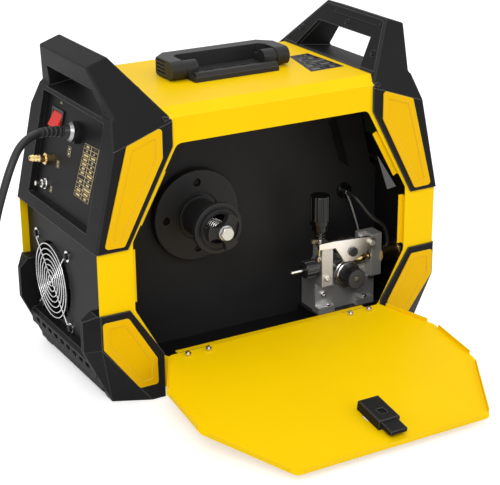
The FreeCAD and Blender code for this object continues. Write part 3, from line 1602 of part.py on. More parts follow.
def make_feeder_body():
    """Die-cast drive body: gearbox block, front plate with two posts, wire guide bores and pivot lugs."""
    back = gearbox_back
    face = feeder_face_y
    block = box(feeder_left + 3, feeder_right - 16, face + 1, back, feeder_low, feeder_low_top)
    plate = box(feeder_left, feeder_right, face, face + feeder_plate, feeder_low, feeder_low_top)
    post_l = box(feeder_left, feeder_left + post_left_width, post_face, face + feeder_plate,
                 feeder_low_top - 8, post_left_top)
    post_r = box(feeder_right - post_right_width, feeder_right, post_face, face + feeder_plate,
                 feeder_low_top - 8, post_right_top)
    rib = box(feeder_left + 4, feeder_right - 4, face + 2, face + feeder_plate + 4, feeder_low_top - 4,
              feeder_low_top + 5)
    toe_l = box(feeder_left, feeder_left + 26, face - 9, face + 1, feeder_low, feeder_low + 9)
    toe_r = box(feeder_right - 34, feeder_right - 6, face - 9, face + 1, feeder_low, feeder_low + 9)
    body = fuse_all([block, plate, post_l, post_r, rib, toe_l, toe_r])
    shaft_bore = rod(V(drive_x, face - 5, motor_z), V(drive_x, back + 5, motor_z), 6.0)
    body = body.cut(shaft_bore)
    roller_room = rod(V(drive_x, face - 20, motor_z), V(drive_x, face + 5.5, motor_z), drive_radius + 1.2)
    body = body.cut(roller_room)
    body = body.cut(rod(V(feeder_left - 1, wire_y, wire_z),
                        V(feeder_left + post_left_width + 1, wire_y, wire_z), 4.5))
    body = body.cut(rod(V(feeder_right - post_right_width - 1, wire_y, wire_z),
                        V(feeder_right + 1, wire_y, wire_z), 6.0))
    slot = box(tension_x - 4.2, feeder_left + post_left_width + 2, tension_y - 4.5, tension_y + 4.5,
               tension_pivot_z - 6, post_left_top + 1)
    open_side = box(feeder_left - 1, tension_x + 4.2, tension_y - 4.5, tension_y + 4.5,
                    tension_pivot_z - 6, post_left_top + 1)
    body = body.cut(slot).cut(open_side)
    pin = rod(V(tension_x, tension_y - 5.5, tension_pivot_z),
              V(tension_x, tension_y + 5.5, tension_pivot_z), 1.96)
    body = body.fuse(pin)
    pivot = rod(V(arm_pivot_x, face + 3, arm_pivot_z),
                V(arm_pivot_x, arm_y - arm_thick - 2.5, arm_pivot_z), 3.94)
    carrier = box(arm_pivot_x - 7, feeder_right - 2, face, face + feeder_plate, arm_pivot_z - 16,
                  post_right_top)
    body = body.fuse(carrier).fuse(pivot)
    for spot, inward in feeder_screw_spots():
        body = body.cut(rod(spot, spot + inward * (screw_length + 0.5), screw_shank_radius + 0.1))
    return body.removeSplitter()


def feeder_screw_spots():
    """Seats of the drive's visible screws and the way each one goes in."""
    face = feeder_face_y
    toe_top = feeder_low + 9
    back = V(0, 1, 0)
    down = V(0, 0, -1)
    return [(V(feeder_left + 8, post_face, feeder_low_top + 4), back),
            (V(feeder_left + 12, face, feeder_low_top - 26), back),
            (V(feeder_right - 8, face, feeder_low_top - 14), back),
            (V(feeder_left + 17, face - 4.8, toe_top), down),
            (V(feeder_right - 20, face - 4.8, toe_top), down)]


tension_y = wire_y
post_face = wire_y - 8.5


def make_feeder_insulator():
    """Black insulating base between the drive body and the tray."""
    return box(feeder_left - 3, feeder_right + 3, feeder_face_y - 12, gearbox_back - 0.5 + 1,
               floor_top + 0.05,
               feeder_low - 0.05)


def make_feeder_motor():
    """Geared motor behind the partition with its stepped shaft through the drive body."""
    start = wall_y - 2.9
    can = rod(V(drive_x, start + 3, motor_z), V(drive_x, start + motor_length, motor_z), motor_radius)
    can = can.fuse(rod(V(drive_x, start + motor_length, motor_z),
                       V(drive_x, start + motor_length + 6, motor_z), 9.0))
    nose = rod(V(drive_x, start + 3, motor_z), V(drive_x, gearbox_back + 0.05, motor_z), 16.0)
    shaft = rod(V(drive_x, gearbox_back + 1, motor_z), V(drive_x, wire_y - 27.0, motor_z), 4.0)
    return can.fuse(nose).fuse(shaft).removeSplitter()


def make_drive_roller():
    """Grooved drive roller on the motor shaft."""
    y0 = wire_y - 6.0
    y1 = wire_y + 6.0
    points = [V(4.06, y0, 0), V(drive_radius - 1, y0, 0), V(drive_radius, y0 + 1, 0),
              V(drive_radius, wire_y - 1.2, 0),
              V(drive_radius - 1.0, wire_y, 0), V(drive_radius, wire_y + 1.2, 0), V(drive_radius, y1 - 1, 0),
              V(drive_radius - 1, y1, 0), V(4.06, y1, 0)]
    roller = polygon(points).revolve(V(0, 0, 0), V(0, 1, 0), 360)
    roller.translate(V(drive_x, 0, motor_z))
    return roller


def make_roller_cap():
    """Round knurled cap that keeps the drive roller on its shaft."""
    y1 = wire_y - 6.0 - gap
    cap = rod(V(drive_x, y1, motor_z), V(drive_x, y1 - 20.0, motor_z), 14.0)
    cap = cap.makeFillet(1.5, [e for e in cap.Edges if abs(e.CenterOfMass.y - (y1 - 20.0)) < 0.01])
    for k in range(12):
        angle = math.radians(30 * k)
        spot = V(drive_x + 14.6 * math.cos(angle), y1 - 4, motor_z + 14.6 * math.sin(angle))
        cap = cap.cut(rod(spot, spot - V(0, 14, 0), 1.4))
    bore = rod(V(drive_x, y1 + 1, motor_z), V(drive_x, wire_y - 27.3, motor_z), 4.06)
    return cap.cut(bore)


press_x = drive_x
press_z = wire_z + wire_gap + press_radius


def make_pressure_arm():
    """Pressed steel arm with the roller's stub axle and a forked end for the tension rod."""
    y0 = arm_y - arm_thick / 2
    y1 = arm_y + arm_thick / 2
    tip_x = tension_x - 9.0
    tip_z = knob_low - 24.0
    outline = [(tip_x, tip_z), (tip_x, tip_z - 8), (tip_x + 26, tip_z - 10), (press_x - 12, press_z - 13),
               (press_x + 4, press_z - 14), (press_x + 18, press_z - 7), (arm_pivot_x + 7, arm_pivot_z - 6),
               (arm_pivot_x + 7, arm_pivot_z + 4), (arm_pivot_x - 2, arm_pivot_z + 8), (tip_x + 24, tip_z)]
    plate = prism_xz(outline, y0, y1)
    fork = box(tip_x, tension_x + 9, y0, tension_y + 8.5, tip_z - 4.5, tip_z)
    plate = plate.fuse(fork)
    plate = plate.cut(box(tip_x - 1, tension_x + rod_radius + 0.6, tension_y - rod_radius - 0.6,
                          tension_y + rod_radius + 0.6, tip_z - 6, tip_z + 1))
    plate = plate.cut(rod(V(arm_pivot_x, y0 - 1, arm_pivot_z), V(arm_pivot_x, y1 + 1, arm_pivot_z), 4.0))
    stub = rod(V(press_x, y1 - 1, press_z), V(press_x, wire_y + 8, press_z), 4.0)
    head = rod(V(press_x, y0 - 3.5, press_z), V(press_x, y0 + 1, press_z), 6.5)
    return plate.fuse(stub).fuse(head).removeSplitter()


def make_pressure_roller():
    """Plain bearing roller on the arm's stub."""
    y0 = arm_y + arm_thick / 2 + gap
    y1 = wire_y + 6.5
    roller = tube(V(press_x, y0, press_z), V(press_x, y1, press_z), press_radius, 4.06)
    return roller.makeFillet(0.8, [e for e in roller.Edges if e.Length > 2 * math.pi * (press_radius - 1)])


def make_tension_rod():
    """Tension rod with its pivot eye; it swings aside to free the arm."""
    eye = rod(V(tension_x, tension_y - 3.2, tension_pivot_z),
              V(tension_x, tension_y + 3.2, tension_pivot_z), 5.0)
    stem = rod(V(tension_x, tension_y, tension_pivot_z), V(tension_x, tension_y, knob_high - 8), rod_radius)
    body = eye.fuse(stem)
    return body.cut(rod(V(tension_x, tension_y - 5, tension_pivot_z),
                        V(tension_x, tension_y + 5, tension_pivot_z), 2.02))


def make_tension_knob():
    """Knob of the pressure setting, fluted, over a plain skirt."""
    grip = rod(V(tension_x, tension_y, knob_low), V(tension_x, tension_y, knob_high), knob_radius)
    grip = grip.makeFillet(3.0, [e for e in grip.Edges if abs(e.CenterOfMass.z - knob_high) < 0.01])
    for k in range(10):
        angle = math.radians(36 * k)
        spot = V(tension_x + (knob_radius + 0.9) * math.cos(angle),
                 tension_y + (knob_radius + 0.9) * math.sin(angle),
                 knob_low + 6)
        grip = grip.cut(rod(spot, spot + V(0, 0, knob_high - knob_low), 2.0))
    skirt = tube(V(tension_x, tension_y, knob_low - skirt_length), V(tension_x, tension_y, knob_low + 1),
                 skirt_radius, skirt_radius - skirt_wall)
    grip = grip.fuse(skirt)
    bore = rod(V(tension_x, tension_y, knob_low - 1), V(tension_x, tension_y, knob_high - 6),
               rod_radius + 0.06)
    return grip.cut(bore).removeSplitter()


def make_tension_spring():
    """Pressure spring between the fork and the knob."""
    turns = 5.0
    wire = 1.3
    room = 24.0 - 2 * gap
    pitch = (room - 2 * wire) / turns
    start = V(tension_x, tension_y, knob_low - 24.0 + gap + wire)
    return helix_tube(start, V(0, 0, 1), V(1, 0, 0), 6.6, wire, pitch, turns)


def make_inlet_guide():
    """Ribbed inlet collar with a steel liner tube."""
    x0 = feeder_left - 0.05
    collar = rod(V(x0 - 24.0, wire_y, wire_z), V(x0 - 5.0, wire_y, wire_z), 12.0)
    collar = collar.makeFillet(1.5, [e for e in collar.Edges if abs(e.CenterOfMass.x - (x0 - 24.0)) < 0.01])
    for k in range(10):
        angle = math.radians(36 * k)
        spot = V(x0 - 25, wire_y + 12.6 * math.cos(angle), wire_z + 12.6 * math.sin(angle))
        collar = collar.cut(rod(spot, spot + V(16, 0, 0), 1.6))
    spigot = rod(V(x0 - 6, wire_y, wire_z), V(x0 + post_left_width - 1, wire_y, wire_z), 4.4)
    liner = rod(V(x0 - 44, wire_y, wire_z), V(x0, wire_y, wire_z), 2.6)
    body = collar.fuse(spigot).fuse(liner)
    return body.cut(rod(V(x0 - 45, wire_y, wire_z), V(x0 + 30, wire_y, wire_z), 1.4)).removeSplitter()


def make_euro_connector():
    """Torch connector: brass body through the front panel, guide tube back to the rollers, contact pins."""
    x_face = end_panel_x
    body = rod(V(feeder_right + 0.05, wire_y, wire_z), V(x_face + 2, wire_y, wire_z), 12.0)
    flange = rod(V(x_face + 0.05, wire_y, wire_z), V(x_face + 4, wire_y, wire_z), 24.0)
    bush = rod(V(x_face - 6, wire_y, wire_z), V(x_face + 1, wire_y, wire_z), euro_radius)
    sleeve = tube(V(x_face + 4, wire_y, wire_z), V(x_face + 22, wire_y, wire_z), 19.0, 15.5)
    socket = tube(V(x_face + 3, wire_y, wire_z), V(x_face + 20, wire_y, wire_z), 8.5, 5.2)
    outlet = rod(V(drive_x + 15, wire_y, wire_z), V(feeder_right + 1, wire_y, wire_z), 4.0)
    tip = Part.makeCone(1.8, 4.0, 8.0, V(drive_x + 8, wire_y, wire_z), V(1, 0, 0))
    whole = fuse_all([body, flange, bush, sleeve, socket, outlet, tip])
    whole = whole.cut(rod(V(drive_x, wire_y, wire_z), V(x_face + 30, wire_y, wire_z), 1.2))
    return whole


def make_current_sockets():
    """Two bayonet current sockets with their insulating flanges."""
    pieces = []
    for y in socket_ys:
        body = rod(V(end_panel_x - 24, y, socket_z), V(end_panel_x + 1, y, socket_z), socket_radius)
        flange = rod(V(end_panel_x + 0.05, y, socket_z), V(end_panel_x + 5, y, socket_z), 22.0)
        collar = rod(V(end_panel_x + 5, y, socket_z), V(end_panel_x + 18, y, socket_z), 17.0)
        whole = body.fuse(flange).fuse(collar)
        whole = whole.cut(rod(V(end_panel_x - 12, y, socket_z), V(end_panel_x + 20, y, socket_z),
                              current_bore))
        whole = whole.cut(box(end_panel_x - 2, end_panel_x + 20, y - 2.2, y + 2.2, socket_z, socket_z + 10.5))
        pieces.append(whole.removeSplitter())
    return Part.makeCompound(pieces)


current_bore = 6.6


# Gas line

def make_gas_valve():
    """Solenoid gas valve on the power side, its outlet nipple through the partition."""
    y0 = wall_y + base_sheet + 0.05
    block = box(valve_x - 14, valve_x + 14, y0, y0 + 24, valve_z - 11, valve_z + 11)
    can = rod(V(valve_x, y0 + 12, valve_z + 11), V(valve_x, y0 + 12, valve_z + 36), 11.0)
    nipple = rod(V(valve_x, y0 + 1, valve_z), V(valve_x, wall_y - 3.5, valve_z), valve_nipple)
    ring = rod(V(valve_x, wall_y - 0.05, valve_z), V(valve_x, wall_y - 3.5, valve_z), 11.0)
    tail = rod(V(valve_x, wall_y - 3.5, valve_z), V(valve_x, wall_y - 12, valve_z), 3.2)
    return fuse_all([block, can, nipple, ring, tail])


def make_gas_hose():
    """Hose from the valve's nipple down to the torch connector."""
    start = V(valve_x, wall_y - 12.05, valve_z)
    end_x = feeder_right + 16
    points = [start, start + V(0, -12, 0), start + V(6, -24, -10), start + V(16, -34, -28),
              V(end_x, wire_y, wire_z + 36), V(end_x, wire_y, wire_z + 12.1)]
    path, radii = lead_path(points)
    return swept_tube(path, 3.0, points[0], points[1].sub(points[0]))


# Power side, behind the partition

def make_power_board():
    """Inverter board with its capacitors and finned heat sinks."""
    board_y = 86.0
    board = box(-150, 90, board_y, board_y + 2, 150, 330)
    pieces = []
    for k in range(3):
        cap = rod(V(-115 + 42 * k, board_y + 0.5, 300), V(-115 + 42 * k, board_y - 42, 300), 16.0)
        board = board.fuse(cap)
    for k in range(2):
        x0 = -140 + 120 * k
        base = box(x0, x0 + 100, board_y - 8, board_y + 0.5, 165, 270)
        for n in range(8):
            z = 168 + n * 13.5
            base = base.fuse(box(x0, x0 + 100, board_y - 40, board_y - 7, z, z + 3))
        board = board.fuse(base)
    for k in range(4):
        x = -140 if k % 2 == 0 else 80
        z = 160 if k < 2 else 320
        post = rod(V(x, board_y + 1.5, z), V(x, half_width - sheet - gap, z), 4.0)
        board = board.fuse(post)
    return board.removeSplitter()


def make_transformer():
    """Main transformer: ferrite frame round a wound bobbin."""
    x0, y0, z0 = -150.0, 25.0, floor_top + 0.05
    core = box(x0, x0 + 70, y0, y0 + 56, z0, z0 + 84)
    core = core.cut(box(x0 + 14, x0 + 56, y0 - 1, y0 + 57, z0 + 14, z0 + 70))
    leg = box(x0 + 26, x0 + 44, y0 + 8, y0 + 48, z0 + 13, z0 + 71)
    bobbin = rod(V(x0 + 35, y0 + 28, z0 + 16), V(x0 + 35, y0 + 28, z0 + 68), 19.5)
    return fuse_all([core, leg, bobbin])


def make_reactor():
    """Output choke: two wound limbs on a laminated frame."""
    x0, y0, z0 = -50.0, 22.0, floor_top + 0.05
    core = box(x0, x0 + 96, y0, y0 + 50, z0, z0 + 76)
    core = core.cut(box(x0 + 30, x0 + 66, y0 - 1, y0 + 51, z0 + 18, z0 + 58))
    for x in (x0 + 15, x0 + 81):
        core = core.fuse(box(x - 22, x + 22, y0 - 7, y0 + 57, z0 + 20, z0 + 56))
    return core.removeSplitter()


def make_control_board():
    """Control board behind the front plate, with its display block in the plate's window."""
    n = end_normal()
    spot = end_spot(0.0, 300.0, 0.0)
    board = tilted_box(spot, 78.0, 44.0, -12.0, -10.0)
    display = tilted_box(end_spot(0.0, display_z, 0.0), 21.0, 11.0, -10.5, 0.6)
    body = board.fuse(display)
    for y in (-70, 70):
        for s in (-1, 1):
            foot = tilted_box(end_spot(y, 300.0 + s * 36, 0.0), 4.0, 4.0, -10.5, -panel_thickness - 0.05)
            body = body.fuse(foot)
    return body.removeSplitter()


display_z = 322.0
knob_y = 50.0
knob_z = 270.0


def make_front_knob(y):
    """Setting knob with a pointer rib, on its shaft through the front plate."""
    n = end_normal()
    spot = end_spot(y, knob_z, 0.0)
    body = rod(spot + n * 1.0, spot + n * 17.0, 12.5)
    body = body.makeFillet(1.5, [e for e in body.Edges if (e.CenterOfMass - (spot + n * 17.0)).Length < 0.01])
    skirt = rod(spot + n * 1.0, spot + n * 4.0, 15.5)
    shaft = rod(spot - n * 8.0, spot + n * 2.0, 3.0)
    body = body.fuse(skirt).fuse(shaft)
    for k in range(9):
        angle = math.radians(40 * k)
        side = V(0, 1, 0)
        up = n.cross(side)
        place = spot + side * (13.4 * math.cos(angle)) + up * (13.4 * math.sin(angle))
        body = body.cut(rod(place + n * 5.0, place + n * 19.0, 1.6))
    return body.removeSplitter()


def front_plate_holes():
    return [(-knob_y, knob_z, 3.4), (knob_y, knob_z, 3.4)]


def rear_plate_holes():
    return [(gland_y, gland_z, 9.8), (gas_y, gas_z, 5.0), (earth_y, earth_z, 3.3)]


def make_terminal_panel():
    """Black plate in the rear frame: switch, lead, gas inlet and earth stud."""
    plate = make_end_plate(rear_plate_holes())
    plate = plate.cut(tilted_box(end_spot(switch_y, switch_z, 0.0), switch_half + gap, 12.8, -10, 3))
    return mirror_x(plate)


def make_control_panel():
    """Plate in the front frame, with the display window and two knob holes."""
    plate = make_end_plate(front_plate_holes())
    return plate.cut(tilted_box(end_spot(0.0, display_z, 0.0), 21.3, 11.3, -10, 3))


def make_screws():
    """All pan head screws: handle shells, spool hub, fan guard and wire drive."""
    pieces = []
    spots, inward = handle_screw_spots()
    for spot in spots:
        seat = spot + inward * screw_sink
        piece = screw(seat, inward, screw_length)
        pieces += [piece, mirror_x(piece)]
    face = wall_y - hub_flange_thick + 6
    for angle in (0, 90, 180, 270):
        outward = V(math.cos(math.radians(angle)), 0, math.sin(math.radians(angle)))
        spot = V(hub_x, face, hub_z) + outward * hub_screw_circle
        pieces.append(screw(spot, V(0, 1, 0), screw_length))
    for sy in (-1, 1):
        for sz in (-1, 1):
            spot = V(-end_panel_x - 1.75, fan_y + sy * fan_hole_half, fan_z + sz * fan_hole_half)
            pieces.append(screw(spot, V(1, 0, 0), screw_length))
    for spot, inward in feeder_screw_spots():
        pieces.append(screw(spot, inward, feeder_screw_length))
    return Part.makeCompound(pieces)


def write(name, shape):
    shape.exportStep(os.path.join("parts", name + ".step"))


upper = make_upper_moulding()
lower = make_lower_moulding()
handle_shell = make_handle_shell()
coil, coil_path, coil_first, coil_dir, coil_last, coil_out = make_cord_coil()
points = cord_points() + [coil_first - coil_dir * last_run, coil_first]
path, radii = lead_path(points)
lead = swept_tube(path, cord_radius, points[0], points[1].sub(points[0]))
expected = math.pi * cord_radius ** 2 * path.Length
print("lead radii in diameters", [round(r / (2 * cord_radius), 1) for r in radii])
print("lead volume ratio", round(lead.Volume / expected, 4), "length", round(path.Length, 1))
print("coil length", round(coil_path.Length, 1), "volume ratio",
      round(coil.Volume / (math.pi * cord_radius ** 2 * coil_path.Length), 4))
samples = coil_path.discretize(Distance=4.0)
print("coil least gap", round(least_self_gap(samples, 60.0, 2 * cord_radius), 2))

solids = {
    "base_pan": make_base_pan(),
    "outer_cover": make_outer_cover(),
    "partition": make_partition(),
    "rear_panel": make_rear_panel(),
    "front_panel": make_front_panel(),
    "front_upper_moulding": upper,
    "rear_upper_moulding": mirror_x(upper),
    "front_lower_moulding": lower,
    "rear_lower_moulding": mirror_x(lower),
    "front_handle_shell": handle_shell,
    "rear_handle_shell": mirror_x(handle_shell),
    "corner_inserts": make_corner_inserts(),
    "terminal_panel": make_terminal_panel(),
    "control_panel": make_control_panel(),
    "m5_screws": make_screws(),
    "switch_body": mirror_x(make_switch_body()),
    "switch_rocker": mirror_x(make_switch_rocker()),
    "cable_gland": mirror_x(make_cable_gland()),
    "power_cord": lead,
    "cord_coil": coil,
    "mains_plug": make_plug(coil_last, coil_out),
    "gas_inlet": mirror_x(make_gas_inlet()),
    "earth_stud": mirror_x(make_earth_stud()),
    "fan_frame": make_fan_frame(),
    "fan_rotor": make_fan_rotor(),
    "fan_guard": make_fan_guard(),
    "bail_base": make_bail_base(),
    "bail": make_bail(),
    "door": make_door(),
    "hinge_door_leaves": make_hinge_door_leaves(),
    "hinge_case_leaves": make_hinge_case_leaves(),
    "latch_body": make_latch_body(),
    "latch_slide": make_latch_slide(),
    "hub_flange": make_hub_flange(),
    "hub_spindle": make_hub_spindle(),
    "hub_ring": make_hub_ring(),
    "hub_lock": make_hub_lock(),
    "hub_bolt": make_hub_bolt(),
    "hub_spring": make_hub_spring(),
    "feeder_body": make_feeder_body(),
    "feeder_insulator": make_feeder_insulator(),
    "feeder_motor": make_feeder_motor(),
    "drive_roller": make_drive_roller(),
    "roller_cap": make_roller_cap(),
    "pressure_arm": make_pressure_arm(),
    "pressure_roller": make_pressure_roller(),
    "tension_rod": make_tension_rod(),
    "tension_knob": make_tension_knob(),
    "tension_spring": make_tension_spring(),
    "inlet_guide": make_inlet_guide(),
    "euro_connector": make_euro_connector(),
    "current_sockets": make_current_sockets(),
    "gas_valve": make_gas_valve(),
    "gas_hose": make_gas_hose(),
    "power_board": make_power_board(),
    "transformer": make_transformer(),
    "output_reactor": make_reactor(),
    "control_board": make_control_board(),
    "knob_left": make_front_knob(-knob_y),
    "knob_right": make_front_knob(knob_y),
}
free_nodes = ("power_cord", "cord_coil", "mains_plug")
outline = Part.makeCompound([shape for name, shape in solids.items() if name not in free_nodes]).BoundBox
outline_shift = round(-(outline.YMin + outline.YMax) / 2, 2)
print("moved in Y by", outline_shift)
print("lead points", [[round(p.x, 1), round(p.y + outline_shift, 1), round(p.z, 1)] for p in points])
for name, shape in solids.items():
    shape.translate(V(0, outline_shift, 0))
    write(name, shape)
    print(name, "valid", shape.isValid(), "solids", len(shape.Solids), "volume",
          round(shape.Volume / 1000, 1))
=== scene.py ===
# %% [markdown]
# # A portable wire welding machine, dressed over its solids
# The solids come in as the frame, already in their places and in metres. This lesson adds what they leave
# out: the photograph's camera, soft light, the mains lead and the gas hose, thin printed trim, and a
# procedural material for every piece.

# %% Setup
import bpy
import json
import math
import numpy as np
from mathutils import Matrix, Vector


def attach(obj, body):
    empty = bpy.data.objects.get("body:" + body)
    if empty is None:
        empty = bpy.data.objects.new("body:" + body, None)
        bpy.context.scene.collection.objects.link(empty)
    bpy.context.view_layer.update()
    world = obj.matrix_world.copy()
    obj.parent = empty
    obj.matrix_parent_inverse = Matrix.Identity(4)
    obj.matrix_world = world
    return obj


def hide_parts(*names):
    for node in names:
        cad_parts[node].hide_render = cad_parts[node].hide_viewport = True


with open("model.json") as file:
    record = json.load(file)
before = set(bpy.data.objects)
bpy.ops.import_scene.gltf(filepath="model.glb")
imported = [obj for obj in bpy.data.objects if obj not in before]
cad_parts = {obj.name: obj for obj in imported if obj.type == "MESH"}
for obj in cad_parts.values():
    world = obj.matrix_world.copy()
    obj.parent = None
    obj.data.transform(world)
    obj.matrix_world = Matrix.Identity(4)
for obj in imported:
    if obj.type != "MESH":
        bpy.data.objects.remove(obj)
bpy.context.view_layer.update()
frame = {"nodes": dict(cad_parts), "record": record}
nodes = frame["nodes"]
MM = 0.001
bpy.context.scene.view_settings.view_transform = "Standard"

# %% [markdown]
# ## Camera
# The place and the direction were solved from straight edges of the case in the photograph, whose
# frame is 500 by 485. The focal length is 1457 of its pixels, with no lens shift.

# %% Camera
IMAGE_WIDTH = 500
SENSOR = 36.0
FOCAL_PIXELS = 1457.48
CAMERA_PLACE = Vector((-0.87844, -1.46230, 0.83299))
AZIMUTH = math.radians(-29.714)
ELEVATION = math.radians(21.042)
ROLL = math.radians(-0.432)


def add_camera():
    """Adds the photograph's camera: the view direction, then its right and up axes turned by the roll."""
    data = bpy.data.cameras.new("photo_camera")
    data.sensor_width = SENSOR
    data.lens = FOCAL_PIXELS * SENSOR / IMAGE_WIDTH
    data.clip_start = 0.01
    camera = bpy.data.objects.new("photo_camera", data)
    bpy.context.scene.collection.objects.link(camera)
    level = math.cos(ELEVATION)
    forward = Vector((-math.sin(AZIMUTH) * level, math.cos(AZIMUTH) * level, -math.sin(ELEVATION)))
    right = forward.cross(Vector((0, 0, 1))).normalized()
    up = right.cross(forward)
    turned_right = right * math.cos(ROLL) + up * math.sin(ROLL)
    turned_up = up * math.cos(ROLL) - right * math.sin(ROLL)
    axes = Matrix((turned_right, turned_up, -forward)).transposed().to_4x4()
    camera.matrix_world = Matrix.Translation(CAMERA_PLACE) @ axes
    bpy.context.scene.camera = camera


add_camera()
print("camera at", [round(v, 3) for v in CAMERA_PLACE])

# %% [markdown]
# ## Cords
# A flexible lead follows one smooth line, so each cord is a NURBS curve through a few given control
# points, made into a tube by the curve's own bevel. The tube's radius is carried by the spline's points and
# the bevel depth is one metre, because Blender grows a curve's bounding box by the points' radius, and this
# way the box is as thin as the tube.

# %% Cord helper
CORD_ROUNDING = 4
CORD_ORDER = 3


def add_cord(name, points, diameter, body, resolution=6):
    """A round tube along a smooth spline that rides on a body; points are in millimetres."""
    curve = bpy.data.curves.new(name, "CURVE")
    curve.dimensions = "3D"
    curve.resolution_u = resolution
    curve.bevel_depth = 1.0
    curve.bevel_resolution = CORD_ROUNDING
    curve.use_fill_caps = True
    spline = curve.splines.new("NURBS")
    spline.points.add(len(points) - 1)
    metres = np.array(points) * MM
    spline.points.foreach_set("co", np.column_stack([metres, np.ones(len(points))]).ravel())
    spline.points.foreach_set("radius", np.full(len(points), diameter / 2))
    spline.order_u = CORD_ORDER
    spline.use_endpoint_u = True
    obj = bpy.data.objects.new(name, curve)
    bpy.context.scene.collection.objects.link(obj)
    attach(obj, body)
    return obj


print("cords are splines of order", CORD_ORDER)

# %% [markdown]
# ## Mains lead
# The mains lead leaves the gland on the rear panel, droops past the rear end to the floor, and its unseen
# length is put away in two layers of turns, ending at the plug. The turns are more points of the same
# spline, a little outside the wanted radius, because a spline cuts inside its control points.

# %% Mains lead
LEAD_DIAMETER = 0.010
LEAD_POINTS = [(-233.0, 126.3, 325.3), (-246.7, 126.3, 328.3), (-270.4, 122.8, 328.8), (-293.2, 113.3, 320.8),
               (-310.0, 100.3, 303.2), (-323.5, 94.8, 276.5), (-335.8, 91.3, 246.5), (-345.0, 88.8, 211.0),
               (-350.5, 87.3, 171.0), (-355.0, 86.3, 132.0), (-361.0, 85.8, 95.0), (-372.0, 86.3, 62.0),
               (-389.0, 87.3, 34.0), (-411.5, 88.3, 13.5), (-440.0, 88.6, 5.2)]
COIL_TURNS = 7.0
COIL_PITCH = 10.9
COIL_LIFT = 10.7
COIL_OUTER = 74.0
COIL_CENTRE = (-470.0, 163.35)
COIL_LOW = 5.2
CROSSING = 0.25
PLUG_RISE = 2.8
TAIL = 34.0
POINTS_PER_TURN = 16
SPLINE_SHRINK = math.cos(math.pi / POINTS_PER_TURN)


def coil_point(turn):
    """A point of the coil, in millimetres: inwards along the lower layer, up, and outwards on top of it."""
    half = COIL_TURNS / 2
    if turn <= half - CROSSING:
        radius, height = COIL_OUTER - COIL_PITCH * turn, COIL_LOW
    elif turn >= half + CROSSING:
        radius = COIL_OUTER - COIL_PITCH * (COIL_TURNS - turn)
        share = max(0.0, (turn - COIL_TURNS + 0.5) / 0.5)
        height = COIL_LOW + COIL_LIFT + PLUG_RISE * (1 - math.cos(math.pi * share)) / 2
    else:
        share = (turn - half + CROSSING) / (2 * CROSSING)
        middle = COIL_OUTER - COIL_PITCH * half
        radius = middle + COIL_PITCH * CROSSING * (1 - 4 * share * (1 - share))
        height = COIL_LOW + COIL_LIFT * (1 - math.cos(math.pi * share)) / 2
    angle = math.radians(-90.0 - 360.0 * turn)
    wide = radius / SPLINE_SHRINK
    return (COIL_CENTRE[0] + wide * math.cos(angle), COIL_CENTRE[1] + wide * math.sin(angle), height)


def lead_control_points():
    """All control points of the lead's centreline: the hanging run, the coil, and the straight tail."""
    points = list(LEAD_POINTS)
    count = int(COIL_TURNS * POINTS_PER_TURN)
    points += [coil_point(k / POINTS_PER_TURN) for k in range(count + 1)]
    last_x, last_y, last_z = points[-1]
    points += [(last_x - TAIL * share, last_y, last_z) for share in (0.35, 0.7, 1.0)]
    return points


lead_points = lead_control_points()
mains_lead = add_cord("mains_lead", lead_points, LEAD_DIAMETER, "case")
print("lead control points:", len(lead_points))

# %% [markdown]
# ## Pieces and sleeves
# What the solids leave out is built from arrays of vertices and faces. The first helper puts one such array
# into a mesh and lets it ride on a body. A sleeve is a round profile carried along a path.

# %% Piece builder
ROUND_UNDER = 40.0


def make_piece(name, vertices, faces, body, finish, round_under=0.0):
    """A mesh object from vertices in metres that rides on a body; edges under an angle are shaded round."""
    mesh = bpy.data.meshes.new(name)
    mesh.from_pydata(np.asarray(vertices).tolist(), [], [tuple(int(i) for i in face) for face in faces])
    if round_under:
        mesh.shade_smooth()
        mesh.set_sharp_from_angle(angle=math.radians(round_under))
    if finish:
        mesh.materials.append(finish)
    obj = bpy.data.objects.new(name, mesh)
    bpy.context.scene.collection.objects.link(obj)
    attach(obj, body)
    return obj


print("piece builder ready, edges under", ROUND_UNDER, "degrees are shaded round")

# %% Sleeve builder
UPRIGHT = 0.7


def grid_faces(rows, columns, ring=False):
    """Quads of a grid that is closed round its columns, and for a ring round its rows too."""
    row = np.arange(rows if ring else rows - 1)[:, None]
    next_row = (row + 1) % rows
    column = np.arange(columns)[None, :]
    nearby = (column + 1) % columns
    quads = [row * columns + column, row * columns + nearby, next_row * columns + nearby,
             next_row * columns + column]
    return np.stack([q.ravel() for q in np.broadcast_arrays(*quads)], axis=1)


def make_sleeve(name, centres, radii, body, finish, sides=40):
    """A closed round solid along centres: at each centre a ring of the given radius, square to the path."""
    path = np.array(centres, dtype=float)
    along = np.gradient(path, axis=0)
    along /= np.linalg.norm(along, axis=1)[:, None]
    hint = np.array((0.0, 0.0, 1.0)) if abs(along[0, 2]) < UPRIGHT else np.array((0.0, 1.0, 0.0))
    side = np.cross(along, hint)
    side /= np.linalg.norm(side, axis=1)[:, None]
    up = np.cross(side, along)
    angle = np.linspace(0, 2 * np.pi, sides, endpoint=False)[None, :, None]
    size = np.array(radii, dtype=float)[:, None, None]
    rings = path[:, None] + size * (np.cos(angle) * side[:, None] + np.sin(angle) * up[:, None])
    vertices = rings.reshape(-1, 3) * MM
    rows = len(path)
    first = np.arange(sides)
    faces = [*grid_faces(rows, sides)[:, ::-1], first, first[::-1] + (rows - 1) * sides]
    return make_piece(name, vertices, faces, body, finish, ROUND_UNDER)


print("sleeve builder ready")

# %% [markdown]
# ## Bend relief on the mains lead
# A ribbed rubber sleeve starts inside the gland and follows the first bend of the lead. Its centres are read
# from the lead's own spline, so the lead stays in its middle, and its radius falls from the gland to the tip.

